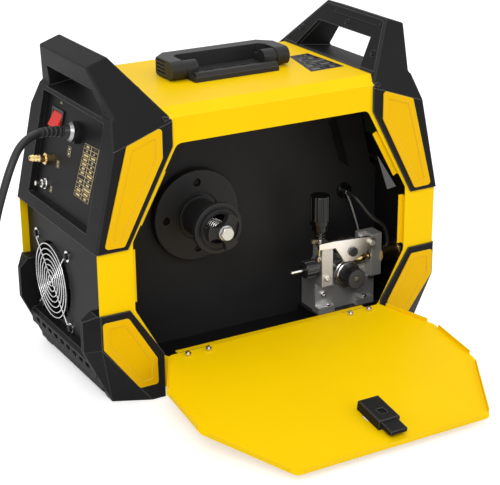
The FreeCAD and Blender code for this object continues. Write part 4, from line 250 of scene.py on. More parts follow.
# %% Bend relief
LINE_STEPS = 150
BOOT_LENGTH = 36.0
BOOT_INSIDE = 4.0
BOOT_RINGS = 85
BOOT_RADII = (6.9, 5.4)
BOOT_RIBS = 6
RIB_SPAN = (0.14, 0.93)
RIB_HEIGHT = 0.35
RIB_FLATNESS = 3


def cord_line(cord):
    """Points along a cord's spline in millimetres, read from a copy of its curve that has no tube."""
    bare = cord.copy()
    bare.data = cord.data.copy()
    bare.data.bevel_depth = 0.0
    bare.data.resolution_u = LINE_STEPS
    mesh = bpy.data.meshes.new_from_object(bare)
    line = np.empty(3 * len(mesh.vertices), dtype=np.float32)
    mesh.vertices.foreach_get("co", line)
    curve = bare.data
    bpy.data.objects.remove(bare)
    bpy.data.curves.remove(curve)
    bpy.data.meshes.remove(mesh)
    return line.astype(float).reshape(-1, 3) / MM


def boot_profile():
    """Centres at even ways along the lead from inside the gland, and a falling radius with clipped sine ribs."""
    line = cord_line(mains_lead)
    walked = np.concatenate([[0], np.cumsum(np.linalg.norm(np.diff(line, axis=0), axis=1))])
    way = np.linspace(0, BOOT_LENGTH - BOOT_INSIDE, BOOT_RINGS)
    centres = np.stack([np.interp(way, walked, line[:, axis]) for axis in range(3)], axis=1)
    inwards = (centres[0] - centres[1]) / np.linalg.norm(centres[0] - centres[1])
    centres = np.concatenate([[centres[0] + inwards * BOOT_INSIDE], centres])
    share = np.concatenate([[0.0], (way + BOOT_INSIDE) / BOOT_LENGTH])
    radius = BOOT_RADII[0] + (BOOT_RADII[1] - BOOT_RADII[0]) * share
    rib = RIB_HEIGHT * np.clip(np.sin(2 * np.pi * BOOT_RIBS * share) * RIB_FLATNESS, -1, 1)
    radius += np.where((share > RIB_SPAN[0]) & (share < RIB_SPAN[1]), rib, 0.0)
    return centres, radius


lead_boot = make_sleeve("lead_boot", *boot_profile(), "case", None)
print("bend relief faces:", len(lead_boot.data.polygons))

# %% [markdown]
# ## Tie round the coil
# The put-away turns are held by one flat strap. Seen across the turns it is a rounded rectangle, thick
# above and at the sides and thin where it passes under them.

# %% Coil tie
TIE_WIDTH = 16.0
TIE_INNER = (33.0, 76.9, 0.12, 21.2)
TIE_OUTER = (32.1, 77.8, 0.03, 22.1)
TIE_CORNER = 4.0
TIE_STEPS = 64


def strap_loop(low_radius, high_radius, low, high):
    """A rounded rectangle in radius and height: corner arcs round a smaller rectangle."""
    angle = (np.arange(TIE_STEPS) + 0.5) * 2 * np.pi / TIE_STEPS
    wide, tall = (high_radius - low_radius) / 2, (high - low) / 2
    across, upwards = np.cos(angle), np.sin(angle)
    radius = (low_radius + high_radius) / 2 + (wide - TIE_CORNER) * np.sign(across) + TIE_CORNER * across
    height = (low + high) / 2 + (tall - TIE_CORNER) * np.sign(upwards) + TIE_CORNER * upwards
    return radius, height


def make_tie():
    """The strap: four corners of its section, inner and outer, at each step round the loop."""
    corners = []
    for size, across in ((TIE_INNER, -1), (TIE_INNER, 1), (TIE_OUTER, 1), (TIE_OUTER, -1)):
        radius, height = strap_loop(*size)
        side = np.full(TIE_STEPS, COIL_CENTRE[1] + across * TIE_WIDTH / 2)
        corners.append(np.stack([COIL_CENTRE[0] - radius, side, height], axis=1))
    vertices = np.stack(corners, axis=1).reshape(-1, 3) * MM
    return make_piece("coil_tie", vertices, grid_faces(TIE_STEPS, 4, ring=True), "case", None, ROUND_UNDER)


coil_tie = make_tie()
print("tie faces:", len(coil_tie.data.polygons))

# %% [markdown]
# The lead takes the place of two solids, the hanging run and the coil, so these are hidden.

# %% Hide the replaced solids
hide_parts("power_cord", "cord_coil")

# %% [markdown]
# ## Gas hose
# The hose leaves the valve's outlet in the inner wall, drops and enters the torch socket's side. It is a cord
# by the same helper, and its control points are the route of the solid that it replaces.

# %% Gas hose
HOSE_DIAMETER = 0.006
HOSE_POINTS = [(176.0, 113.3, 178.0), (176.0, 101.3, 178.0), (182.0, 89.3, 168.0), (192.0, 79.3, 150.0),
               (217.0, 74.35, 132.0), (217.0, 74.35, 108.1)]

gas_hose = add_cord("inner_gas_hose", HOSE_POINTS, HOSE_DIAMETER, "case", 12)
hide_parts("gas_hose")
print("gas hose control points:", len(HOSE_POINTS))

# %% [markdown]
# ## Surface detail shared by all finishes
# Paint, moulded plastic and cast metal all show the same three things at different sizes: a fine grain, a
# slow drift of tone, and patches where the gloss is scuffed. One node group makes these as plain values
# from object coordinates, and each material uses them with its own numbers.

# %% Surface group
GRAIN_SCALE = 900.0
MOTTLE_SCALE = 14.0
SCUFF_SCALE = 70.0
SCUFF_LIMITS = (0.60, 0.74)


def group_socket(group, name, kind, side, value=None):
    """Adds one socket to a node group's interface."""
    socket = group.interface.new_socket(name=name, in_out=side, socket_type=kind)
    if value is not None:
        socket.default_value = value


def add_noise(group, scale, detail, roughness=0.5):
    """A noise texture node inside a group, read at the group's vector."""
    noise = group.nodes.new("ShaderNodeTexNoise")
    noise.inputs["Scale"].default_value = scale
    noise.inputs["Detail"].default_value = detail
    noise.inputs["Roughness"].default_value = roughness
    return noise


def make_surface_group():
    """Node group: grain height, mottle mask and scuff mask from object coordinates."""
    group = bpy.data.node_groups.new("surface_grain", "ShaderNodeTree")
    group_socket(group, "Vector", "NodeSocketVector", "INPUT")
    group_socket(group, "Grain Scale", "NodeSocketFloat", "INPUT", GRAIN_SCALE)
    for name in ("Height", "Mottle", "Scuff"):
        group_socket(group, name, "NodeSocketFloat", "OUTPUT")
    entry = group.nodes.new("NodeGroupInput")
    leave = group.nodes.new("NodeGroupOutput")
    fine = add_noise(group, GRAIN_SCALE, 3.0, 0.55)
    slow = add_noise(group, MOTTLE_SCALE, 4.0)
    scratch = add_noise(group, SCUFF_SCALE, 8.0, 0.7)
    for noise in (fine, slow, scratch):
        group.links.new(entry.outputs["Vector"], noise.inputs["Vector"])
    group.links.new(entry.outputs["Grain Scale"], fine.inputs["Scale"])
    patches = group.nodes.new("ShaderNodeMapRange")
    patches.inputs["From Min"].default_value = SCUFF_LIMITS[0]
    patches.inputs["From Max"].default_value = SCUFF_LIMITS[1]
    group.links.new(scratch.outputs["Fac"], patches.inputs["Value"])
    group.links.new(fine.outputs["Fac"], leave.inputs["Height"])
    group.links.new(slow.outputs["Fac"], leave.inputs["Mottle"])
    group.links.new(patches.outputs["Result"], leave.inputs["Scuff"])
    return group


surface_group = make_surface_group()
print("surface group outputs:", [s.name for s in surface_group.nodes["Group Output"].inputs if s.name])

# %% [markdown]
# ## Round edges and a painted edge highlight, shared by all finishes
# Every edge of the real mouldings and folded sheets is slightly round and catches a thin line of light. The
# Bevel node gives the shading normal of such a round edge. Its dot product with the flat face's normal falls
# below one there, and that is the mask of a painted highlight: a paler tone painted into the colour along
# the edge. This is a second group.

# %% Edge group
EDGE_SAMPLES = 4
EDGE_TURN = (0.999, 0.96)


def make_edge_group():
    """Node group: the normal of a rounded edge, and the mask of a painted edge highlight that grows as it turns
    from the face.
    """
    group = bpy.data.node_groups.new("edge_highlight", "ShaderNodeTree")
    group_socket(group, "Radius", "NodeSocketFloat", "INPUT", MM)
    group_socket(group, "Highlight", "NodeSocketFloat", "INPUT", 0.25)
    group_socket(group, "Normal", "NodeSocketVector", "OUTPUT")
    group_socket(group, "Edge", "NodeSocketFloat", "OUTPUT")
    entry = group.nodes.new("NodeGroupInput")
    leave = group.nodes.new("NodeGroupOutput")
    rounding = group.nodes.new("ShaderNodeBevel")
    rounding.samples = EDGE_SAMPLES
    flat = group.nodes.new("ShaderNodeNewGeometry")
    turn = group.nodes.new("ShaderNodeVectorMath")
    turn.operation = "DOT_PRODUCT"
    highlight_ramp = group.nodes.new("ShaderNodeMapRange")
    highlight_ramp.inputs["From Min"].default_value = EDGE_TURN[0]
    highlight_ramp.inputs["From Max"].default_value = EDGE_TURN[1]
    group.links.new(entry.outputs["Radius"], rounding.inputs["Radius"])
    group.links.new(rounding.outputs["Normal"], turn.inputs[0])
    group.links.new(flat.outputs["Normal"], turn.inputs[1])
    group.links.new(turn.outputs["Value"], highlight_ramp.inputs["Value"])
    group.links.new(entry.outputs["Highlight"], highlight_ramp.inputs["To Max"])
    group.links.new(highlight_ramp.outputs["Result"], leave.inputs["Edge"])
    group.links.new(rounding.outputs["Normal"], leave.inputs["Normal"])
    return group


edge_group = make_edge_group()
print("edge group outputs:", [s.name for s in edge_group.nodes["Group Output"].inputs if s.name])

# %% [markdown]
# ## Materials
# A material places the shared groups with its own numbers and joins them. Small helpers add the nodes that
# every join needs: a mix of two colours, a mix of two values, a change of range, and a placed group.

# %% Mixing helpers


def mix_colour(tree, links, factor, first, second):
    """A Mix node between two colours or links."""
    mix = tree.new("ShaderNodeMix")
    mix.data_type = "RGBA"
    links.new(factor, mix.inputs["Factor"])
    for source, socket in ((first, mix.inputs["A"]), (second, mix.inputs["B"])):
        if isinstance(source, tuple):
            socket.default_value = (*source, 1.0)
        else:
            links.new(source, socket)
    return mix.outputs["Result"]


def mix_value(tree, links, factor, first, second):
    """A Mix node from a linked value to a number."""
    mix = tree.new("ShaderNodeMix")
    mix.data_type = "FLOAT"
    links.new(factor, mix.inputs["Factor"])
    links.new(first, mix.inputs["A"])
    mix.inputs["B"].default_value = second
    return mix.outputs["Result"]


def map_range(tree, links, value, low, high, to_low=0.0, to_high=1.0):
    """A clamped Map Range node's output."""
    node = tree.new("ShaderNodeMapRange")
    node.inputs["From Min"].default_value = low
    node.inputs["From Max"].default_value = high
    node.inputs["To Min"].default_value = to_low
    node.inputs["To Max"].default_value = to_high
    links.new(value, node.inputs["Value"])
    return node.outputs["Result"]


def place_group(tree, links, group, values):
    """Places a node group and gives its inputs numbers or links; returns its outputs."""
    node = tree.new("ShaderNodeGroup")
    node.node_tree = group
    for name, value in values.items():
        if isinstance(value, bpy.types.NodeSocket):
            links.new(value, node.inputs[name])
        else:
            node.inputs[name].default_value = value
    return node.outputs


print("mixing helpers ready")

# %% [markdown]
# ## Masks for a second finish
# Some moulded or cast pieces carry a second finish in one mesh, such as a brass bore in a black socket. A
# mask picks it out: one where the place, the facing or the way from an axis lies between two limits. The
# limits and the way from an axis are groups, because several materials use them.

# %% Mask groups


def math_node(group, operation, first, second=None):
    """A Math node whose inputs are sockets or numbers, for masks inside a group."""
    node = group.nodes.new("ShaderNodeMath")
    node.operation = operation
    for source, socket in ((first, node.inputs[0]), (second, node.inputs[1])):
        if isinstance(source, (int, float)):
            socket.default_value = source
        elif source is not None:
            group.links.new(source, socket)
    return node.outputs["Value"]


def make_limits_group():
    """Node group: one where a value lies between two limits, as the product of two comparisons."""
    group = bpy.data.node_groups.new("between_limits", "ShaderNodeTree")
    for name in ("Value", "Low", "High"):
        group_socket(group, name, "NodeSocketFloat", "INPUT")
    group_socket(group, "Mask", "NodeSocketFloat", "OUTPUT")
    entry = group.nodes.new("NodeGroupInput")
    leave = group.nodes.new("NodeGroupOutput")
    above = math_node(group, "GREATER_THAN", entry.outputs["Value"], entry.outputs["Low"])
    below = math_node(group, "LESS_THAN", entry.outputs["Value"], entry.outputs["High"])
    group.links.new(math_node(group, "MULTIPLY", above, below), leave.inputs["Mask"])
    return group


def make_axis_group():
    """Node group: the way from an axis along x, or from the nearer of two such axes set off in y."""
    group = bpy.data.node_groups.new("way_from_axis", "ShaderNodeTree")
    group_socket(group, "Place", "NodeSocketVector", "INPUT")
    for name in ("Across", "Height", "Offset"):
        group_socket(group, name, "NodeSocketFloat", "INPUT")
    group_socket(group, "Way", "NodeSocketFloat", "OUTPUT")
    entry = group.nodes.new("NodeGroupInput")
    leave = group.nodes.new("NodeGroupOutput")
    split = group.nodes.new("ShaderNodeSeparateXYZ")
    group.links.new(entry.outputs["Place"], split.inputs["Vector"])
    side = math_node(group, "ABSOLUTE", math_node(group, "SUBTRACT", split.outputs["Y"], entry.outputs["Across"]))
    both = group.nodes.new("ShaderNodeCombineXYZ")
    group.links.new(math_node(group, "SUBTRACT", side, entry.outputs["Offset"]), both.inputs["Y"])
    group.links.new(math_node(group, "SUBTRACT", split.outputs["Z"], entry.outputs["Height"]), both.inputs["Z"])
    length = group.nodes.new("ShaderNodeVectorMath")
    length.operation = "LENGTH"
    group.links.new(both.outputs["Vector"], length.inputs[0])
    group.links.new(length.outputs["Value"], leave.inputs["Way"])
    return group


limits_group = make_limits_group()
axis_group = make_axis_group()
print("mask groups:", limits_group.name, axis_group.name)

# %% Second finish


def inlay_value(tree, links, kind, direction, place):
    """What the limits are on: the way from an axis, or the share of the place or the facing along a direction."""
    if kind == "axis":
        across, height, offset = direction
        return place_group(tree, links, axis_group,
                           {"Place": place, "Across": across, "Height": height, "Offset": offset})["Way"]
    share = tree.new("ShaderNodeVectorMath")
    share.operation = "DOT_PRODUCT"
    share.inputs[1].default_value = direction
    links.new(place if kind == "place" else tree.new("ShaderNodeNewGeometry").outputs["Normal"], share.inputs[0])
    return share.outputs["Value"]


print("second finishes can follow a place, a facing or an axis")

# %% [markdown]
# The material itself is a Principled shader. Its tone drifts with the mottle and is painted paler on the edges as
# a highlight, its gloss falls where it is scuffed, and its normal is the rounded edge's with the grain as a bump
# on it.

# %% Material builder
HIGHLIGHT_GAIN = 2.2
HIGHLIGHT_LIFT = 0.02
materials = {}


def make_material(name, dark, light, rough, grain=0.2, scale=900.0, metal=0.0, scuff=0.06, specular=0.5,
                  edge=0.8, highlight_strength=0.25, highlight_colour=None, stretch=None, glow=None, inlay=None):
    """A Principled material: two drifting tones, round edges with a painted highlight, grain in the normal,
    scuffs in the gloss.

    An inlay is a second finish: its kind (place, facing or axis), direction or centre, two limits, colour,
    roughness and metal. The material is kept in materials under its name.
    """
    material = bpy.data.materials.new(name)
    material.use_nodes = True
    tree = material.node_tree.nodes
    links = material.node_tree.links
    shader = tree["Principled BSDF"]
    place = tree.new("ShaderNodeTexCoord").outputs["Object"]
    grain_place = place
    if stretch:
        mapping = tree.new("ShaderNodeMapping")
        mapping.inputs["Scale"].default_value = stretch
        links.new(place, mapping.inputs["Vector"])
        grain_place = mapping.outputs["Vector"]
    surface = place_group(tree, links, surface_group, {"Vector": grain_place, "Grain Scale": scale})
    rounding = place_group(tree, links, edge_group, {"Radius": edge * MM, "Highlight": highlight_strength})
    tone = mix_colour(tree, links, surface["Mottle"], dark, light)
    second = None
    if inlay:
        kind, direction, low, high, colour, second_rough, second_metal = inlay
        value = inlay_value(tree, links, kind, direction, place)
        second = place_group(tree, links, limits_group, {"Value": value, "Low": low, "High": high})["Mask"]
        tone = mix_colour(tree, links, second, tone, colour)
    # Painted highlight: the edge mask mixes a paler tone into the colour where light would catch the round edges.
    pale = highlight_colour or tuple(min(1.0, v * HIGHLIGHT_GAIN + HIGHLIGHT_LIFT) for v in light)
    tone = mix_colour(tree, links, rounding["Edge"], tone, pale)
    links.new(tone, shader.inputs["Base Color"])
    gloss = map_range(tree, links, surface["Scuff"], 0.0, 1.0, rough, rough + scuff)
    if second:
        gloss = mix_value(tree, links, second, gloss, second_rough)
        links.new(map_range(tree, links, second, 0.0, 1.0, metal, second_metal), shader.inputs["Metallic"])
    links.new(gloss, shader.inputs["Roughness"])
    bump = tree.new("ShaderNodeBump")
    bump.inputs["Distance"].default_value = MM
    bump.inputs["Strength"].default_value = grain
    links.new(surface["Height"], bump.inputs["Height"])
    links.new(rounding["Normal"], bump.inputs["Normal"])
    links.new(bump.outputs["Normal"], shader.inputs["Normal"])
    if not second:
        shader.inputs["Metallic"].default_value = metal
    shader.inputs["Specular IOR Level"].default_value = specular
    # A glow is painted light: emission on a part that is no lamp.
    if glow:
        shader.inputs["Emission Color"].default_value = (*glow, 1.0)
        shader.inputs["Emission Strength"].default_value = 1.0
    materials[name] = material


print("material builder ready")

# %% [markdown]
# The powder coat is smooth and only half glossy. The mouldings have a fine leather-like grain. The bright
# metals differ in tone, brushing and polish, and the inner iron is dull.

# %% Finishes
YELLOW = ((0.90, 0.575, 0.0), (0.95, 0.62, 0.0))
INSERT = ((0.80, 0.455, 0.0), (0.85, 0.495, 0.0))
BLACK = ((0.007, 0.007, 0.0075), (0.011, 0.011, 0.0115))
GRAPHITE = ((0.010, 0.010, 0.0104), (0.015, 0.015, 0.0155))
BRASS_BORE = ((0.80, 0.58, 0.27), 0.24, 1.0)
POINTER_PAINT = ((0.75, 0.75, 0.74), 0.5, 0.0)

# The pale edge colour and its strength given to a finish below are its painted edge highlight.
make_material("yellow_paint", *YELLOW, 0.42, 0.03, 420.0, specular=0.07, scuff=0.05, edge=0.6, highlight_strength=0.35,
              highlight_colour=(1.0, 0.75, 0.10))
make_material("yellow_plastic", *INSERT, 0.40, 0.03, 600.0, specular=0.08, edge=1.0, highlight_strength=0.4,
              highlight_colour=(1.0, 0.78, 0.16))
make_material("black_paint", *BLACK, 0.40, 0.06, 1400.0, specular=0.06, edge=0.6, highlight_strength=0.5,
              highlight_colour=(0.10, 0.10, 0.103))
make_material("black_plastic", *GRAPHITE, 0.48, 0.25, 1700.0, specular=0.06, edge=1.4, highlight_strength=0.8,
              highlight_colour=(0.16, 0.16, 0.165))
make_material("wall_paint", (0.014, 0.014, 0.0145), (0.022, 0.022, 0.0225), 0.50, 0.05, 1400.0,
              specular=0.12, edge=0.6, highlight_strength=0.5, highlight_colour=(0.12, 0.12, 0.12))
make_material("hub_plastic", (0.018, 0.018, 0.0185), (0.027, 0.027, 0.0275), 0.42, 0.20, 1700.0,
              specular=0.16, edge=0.9, highlight_strength=0.5, highlight_colour=(0.11, 0.11, 0.113))
make_material("gloss_black", (0.003, 0.003, 0.003), (0.006, 0.006, 0.006), 0.12, 0.01, 900.0,
              specular=0.32, edge=0.8, highlight_strength=0.5)
make_material("dark_plastic", *BLACK, 0.36, 0.05, 900.0, specular=0.3)
make_material("grey_cap", *BLACK, 0.40, 0.15, 1500.0, specular=0.25,
              inlay=("facing", (0, -1, 0), 0.9, 2.0, (0.060, 0.060, 0.058), 0.6, 0.0))
# Screws towards the front and low down are bright steel; the others are black, and painted darker than the black
# plastic as painted shade of their recesses.
make_material("screws", (0.003, 0.003, 0.003), (0.005, 0.005, 0.005), 0.30, 0.04, 900.0, specular=0.2,
              edge=0.3, highlight_strength=0.05,
              inlay=("place", (0.7071, 0, -0.7071), -0.05, 2.0, (0.78, 0.77, 0.75), 0.2, 1.0))
make_material("inlet", (0.62, 0.62, 0.61), (0.74, 0.74, 0.73), 0.30, 0.04, 700.0, metal=1.0, edge=0.4,
              inlay=("place", (1, 0, 0), 0.079, 2.0, (0.014, 0.014, 0.015), 0.4, 0.0))
make_material("gland", *BLACK, 0.38, 0.05, 1200.0, specular=0.35, edge=0.5,
              inlay=("place", (-0.97649, 0, 0.21559), 0.2868, 0.2908, (0.45, 0.45, 0.46), 0.3, 0.5))
make_material("torch_socket", *BLACK, 0.40, 0.05, 1200.0, specular=0.25, edge=0.5,
              inlay=("axis", (0.07435, 0.096, 0.0), -1.0, 0.0125, *BRASS_BORE))
make_material("lead_sockets", *BLACK, 0.40, 0.05, 1200.0, specular=0.25, edge=0.5,
              inlay=("axis", (0.16935, 0.092, 0.025), -1.0, 0.0095, *BRASS_BORE))
make_material("knob_left", *GRAPHITE, 0.40, 0.10, 1200.0, specular=0.2, edge=0.5,
              inlay=("place", (0, 1, 0), 0.0835, 0.0852, *POINTER_PAINT))
make_material("knob_right", *GRAPHITE, 0.40, 0.10, 1200.0, specular=0.2, edge=0.5,
              inlay=("place", (0, 1, 0), 0.1835, 0.1852, *POINTER_PAINT))
make_material("grommet", (0.004, 0.004, 0.004), (0.007, 0.007, 0.007), 0.14, 0.01, 900.0, specular=0.5,
              inlay=("place", (0, 1, 0), 0.0, 0.1165, (0.5, 0.5, 0.52), 0.14, 1.0))
make_material("arm_nickel", (0.78, 0.74, 0.68), (0.88, 0.84, 0.78), 0.34, 0.05, 600.0, metal=1.0,
              edge=0.5, inlay=("place", (0, 1, 0), 0.0, 0.0602, (0.02, 0.02, 0.02), 0.35, 0.4))
make_material("steel", (0.58, 0.57, 0.55), (0.72, 0.71, 0.69), 0.26, 0.08, 700.0, metal=1.0, edge=0.3,
              stretch=(1.0, 1.0, 0.25))
make_material("satin_steel", (0.52, 0.52, 0.50), (0.66, 0.65, 0.63), 0.40, 0.06, 700.0, metal=0.85,
              edge=0.4)
make_material("black_oxide", (0.02, 0.02, 0.021), (0.035, 0.035, 0.036), 0.30, 0.04, 900.0, metal=0.6,
              edge=0.4)
make_material("bright_wire", (0.62, 0.62, 0.63), (0.70, 0.70, 0.71), 0.22, 0.01, 500.0, metal=1.0,
              edge=0.2)
make_material("aluminium", (0.56, 0.55, 0.53), (0.70, 0.69, 0.67), 0.36, 0.25, 800.0, metal=0.65,
              edge=0.6, highlight_strength=0.6)
make_material("brass", (0.72, 0.50, 0.20), (0.84, 0.62, 0.30), 0.22, 0.04, 600.0, metal=1.0, edge=0.4)
make_material("grey_paint", (0.035, 0.035, 0.037), (0.075, 0.075, 0.078), 0.35, 0.05, 900.0, specular=0.4,
              edge=0.3)
make_material("pale_rubber", (0.22, 0.21, 0.20), (0.30, 0.29, 0.28), 0.30, 0.03, 900.0, edge=0.2)
make_material("rubber", (0.014, 0.014, 0.014), (0.022, 0.022, 0.022), 0.42, 0.06, 1200.0, specular=0.35)
# The red rocker's glow is painted light: it gives off a little red though it is no lamp.
make_material("red_plastic", (0.62, 0.012, 0.006), (0.74, 0.020, 0.010), 0.28, 0.02, 700.0, specular=0.2,
              edge=0.4, glow=(0.10, 0.002, 0.0))
make_material("core", (0.08, 0.08, 0.085), (0.13, 0.12, 0.12), 0.55, 0.30, 500.0)
make_material("board", (0.006, 0.020, 0.010), (0.010, 0.030, 0.015), 0.40, 0.10, 700.0)
print("materials:", len(materials))

# %% [markdown]
# Most nodes take the finish of their slot in the record. A few pieces that share a slot look different on
# the real machine, so they get a finish by name.

# %% Finishes on the nodes
OWN_FINISH = {
    "gas_valve": "grommet", "latch_slide": "black_plastic", "pressure_arm": "arm_nickel",
    "roller_cap": "grey_cap", "tension_knob": "gloss_black", "bail": "hub_plastic",
    "bail_base": "hub_plastic", "m5_screws": "screws", "inlet_guide": "inlet", "cable_gland": "gland",
    "tension_spring": "black_oxide", "euro_connector": "torch_socket", "current_sockets": "lead_sockets",
    "knob_left": "knob_left", "knob_right": "knob_right", "partition": "wall_paint",
    "hub_flange": "hub_plastic", "hub_spindle": "hub_plastic", "hub_ring": "hub_plastic",
    "hub_lock": "hub_plastic", "hub_bolt": "satin_steel",
}
node_material = {entry["node"]: entry["material_slot"] for entry in frame["record"]["subparts"]}
for name, obj in nodes.items():
    finish = OWN_FINISH.get(name, node_material.get(name, "black_plastic"))
    obj.data.materials.clear()
    obj.data.materials.append(materials[finish])
for piece in (mains_lead, gas_hose, lead_boot, coil_tie):
    piece.data.materials.append(materials["rubber"])
print("finished nodes:", len(nodes))

# %% [markdown]
# ## Printed plates
# The rear plate carries a small ruled table and four tiny marks, and the roof carries a dark ruled plate.
# They hold rules and bars only. One group turns a plate's own UV into a mask of rules and short bars.

# %% Print group
RULE_FROM = 0.45
POST_FROM = 0.475
BAR_HALF = 0.20
BAR_REACH = 0.42


def make_print_group():
    """Node group: one on the border, the rules and the bars of a printed table, zero elsewhere."""
    group = bpy.data.node_groups.new("printed_table", "ShaderNodeTree")
    group_socket(group, "UV", "NodeSocketVector", "INPUT")
    group_socket(group, "Rows", "NodeSocketFloat", "INPUT", 10.0)
    group_socket(group, "Columns", "NodeSocketFloat", "INPUT", 3.0)
    group_socket(group, "Mask", "NodeSocketFloat", "OUTPUT")
    entry = group.nodes.new("NodeGroupInput")
    leave = group.nodes.new("NodeGroupOutput")
    split = group.nodes.new("ShaderNodeSeparateXYZ")
    group.links.new(entry.outputs["UV"], split.inputs["Vector"])
    across, height = split.outputs["X"], split.outputs["Y"]
    row = math_node(group, "MULTIPLY", height, entry.outputs["Rows"])
    column = math_node(group, "MULTIPLY", across, entry.outputs["Columns"])
    in_row = math_node(group, "FRACT", row)
    in_column = math_node(group, "FRACT", column)
    off_middle = math_node(group, "ABSOLUTE", math_node(group, "SUBTRACT", in_row, 0.5))
    off_centre = math_node(group, "ABSOLUTE", math_node(group, "SUBTRACT", in_column, 0.5))
    rule = math_node(group, "GREATER_THAN", off_middle, RULE_FROM)
    post = math_node(group, "GREATER_THAN", off_centre, POST_FROM)
    cell = group.nodes.new("ShaderNodeCombineXYZ")
    group.links.new(math_node(group, "FLOOR", row), cell.inputs["X"])
    group.links.new(math_node(group, "FLOOR", column), cell.inputs["Y"])
    noise = group.nodes.new("ShaderNodeTexWhiteNoise")
    group.links.new(cell.outputs["Vector"], noise.inputs["Vector"])
    reach = math_node(group, "MULTIPLY", noise.outputs["Value"], BAR_REACH)
    bar = math_node(group, "MULTIPLY", math_node(group, "LESS_THAN", off_middle, BAR_HALF),
                    math_node(group, "LESS_THAN", off_centre, reach))
    mask = math_node(group, "MAXIMUM", math_node(group, "MAXIMUM", rule, post), bar)
    group.links.new(mask, leave.inputs["Mask"])
    return group


print_group = make_print_group()
print("print group outputs:", [s.name for s in print_group.nodes["Group Output"].inputs if s.name])

# %% Printed finishes
PRINT_SPECULAR = 0.08


def make_print(name, ground, ink, rows, columns, rough=0.35):
    """A printed finish: ink on the ground colour by the table mask of the plate's own UV."""
    material = bpy.data.materials.new(name)
    material.use_nodes = True
    tree = material.node_tree.nodes
    links = material.node_tree.links
    shader = tree["Principled BSDF"]
    place = tree.new("ShaderNodeUVMap")
    place.uv_map = "print"
    table = place_group(tree, links, print_group, {"UV": place.outputs["UV"], "Rows": rows, "Columns": columns})
    links.new(mix_colour(tree, links, table["Mask"], ground, ink), shader.inputs["Base Color"])
    shader.inputs["Roughness"].default_value = rough
    shader.inputs["Specular IOR Level"].default_value = PRINT_SPECULAR
    return material


gold_print = make_print("gold_print", (0.010, 0.010, 0.010), (0.80, 0.62, 0.28), 12.0, 2.0)
roof_print = make_print("roof_print", (0.008, 0.008, 0.009), (0.16, 0.15, 0.15), 5.0, 2.0)
mark_print = make_print("mark_print", (0.010, 0.010, 0.010), (0.78, 0.66, 0.38), 2.0, 1.0)
display_print = make_print("display_print", (0.012, 0.014, 0.016), (0.50, 0.06, 0.04), 2.0, 3.0, 0.12)
print("printed finishes:", [finish.name for finish in (gold_print, roof_print, mark_print, display_print)])

# %% [markdown]
# ## Plates on the case
# A printed plate is a thin box over four corners, with its own UV on the outer face. The end plates lean, so
# a point on them is given by its place across and its height.

# %% Plate builder
BOX_FACES = np.array([(0, 3, 2, 1), (4, 5, 6, 7), (0, 1, 5, 4), (1, 2, 6, 5), (2, 3, 7, 6), (3, 0, 4, 7)])


def make_plates(name, quads, normal, thickness, body, finish, sink=0.05):
    """Flat plates on one plane: each quad, its corners counterclockwise from outside, raised along the normal."""
    corners = np.array(quads, dtype=float).reshape(-1, 4, 3)
    out = np.array(normal) / np.linalg.norm(normal)
    boxes = np.concatenate([corners - out * sink, corners + out * thickness], axis=1) * MM
    faces = (BOX_FACES[None] + 8 * np.arange(len(corners))[:, None, None]).reshape(-1, 4)
    obj = make_piece(name, boxes.reshape(-1, 3), faces, body, finish)
    layer = obj.data.uv_layers.new(name="print")
    square = np.array([(0, 0), (1, 0), (1, 1), (0, 1)], dtype=float)
    flat = np.zeros((4, 2))
    one = np.concatenate([flat, square, flat, flat, flat, flat])
    layer.data.foreach_set("uv", np.tile(one, (len(corners), 1)).ravel())
    return obj


print("plate builder ready")

# %% Plates on the case
PLATE_NORMAL = (-0.97649, 0.0, 0.21559)
SIDE_SHIFT = 134.35
END_REACH = 247.5
END_LEAN = 0.22078
LEAN_FROM = 205.0
PLATE_SET_BACK = 8.397
PRINT_THICKNESS = 0.3
ROOF_PRINT_THICKNESS = 0.5
ROOF_TOP = 367.0


def end_reach(height):
    """How far an end plate's face lies from the middle at a height: the lean takes off a share of the rise."""
    return END_REACH - END_LEAN * (height - LEAN_FROM) - PLATE_SET_BACK


def on_rear_plate(across, height):
    """A point on the rear plate's face in millimetres."""
    return (-end_reach(height), across + SIDE_SHIFT, height)


def rear_quad(across, height, wide, high):
    """A small upright rectangle on the rear plate round a point; across falls towards the right of the eye."""
    half, rise = wide / 2, high / 2
    return [on_rear_plate(across + half, height - rise), on_rear_plate(across - half, height - rise),
            on_rear_plate(across - half, height + rise), on_rear_plate(across + half, height + rise)]


table_corners = [on_rear_plate(-25.4, 249.3), on_rear_plate(-67.5, 248.8), on_rear_plate(-74.9, 316.5),
                 on_rear_plate(-34.9, 314.6)]
make_plates("rear_table", [table_corners], PLATE_NORMAL, PRINT_THICKNESS, "case", gold_print)
make_plates("rear_marks", [rear_quad(5.9, 294.0, 9.0, 12.0), rear_quad(32.9, 270.8, 7.0, 9.0),
                           rear_quad(42.0, 236.8, 6.0, 8.0), rear_quad(49.6, 344.0, 6.0, 3.0)],
            PLATE_NORMAL, PRINT_THICKNESS, "case", mark_print)
make_plates("roof_plate", [[(92.0, 76.75, ROOF_TOP), (143.5, 78.85, ROOF_TOP), (140.0, 162.35, ROOF_TOP),
                            (110.0, 160.35, ROOF_TOP)]], (0, 0, 1), ROOF_PRINT_THICKNESS, "case", roof_print)
print("printed plates at the rear and on the roof:", 3)

# %% [markdown]
# The front end is out of the camera's sight and has a small display. Its pane is one more printed plate. It
# starts a little before the face of the leaning front plate, where the block behind the window ends.

# %% Display pane
PANE_DEPTH = -0.6
PANE_HALF = 20.5
PANE_LOW, PANE_HIGH = 311.8, 332.2


def on_front_plate(across, height, depth):
    """A point on the front plate, or a little way behind its face; a negative depth is before it."""
    return (end_reach(height) + PLATE_NORMAL[0] * depth, across + SIDE_SHIFT, height - PLATE_NORMAL[2] * depth)


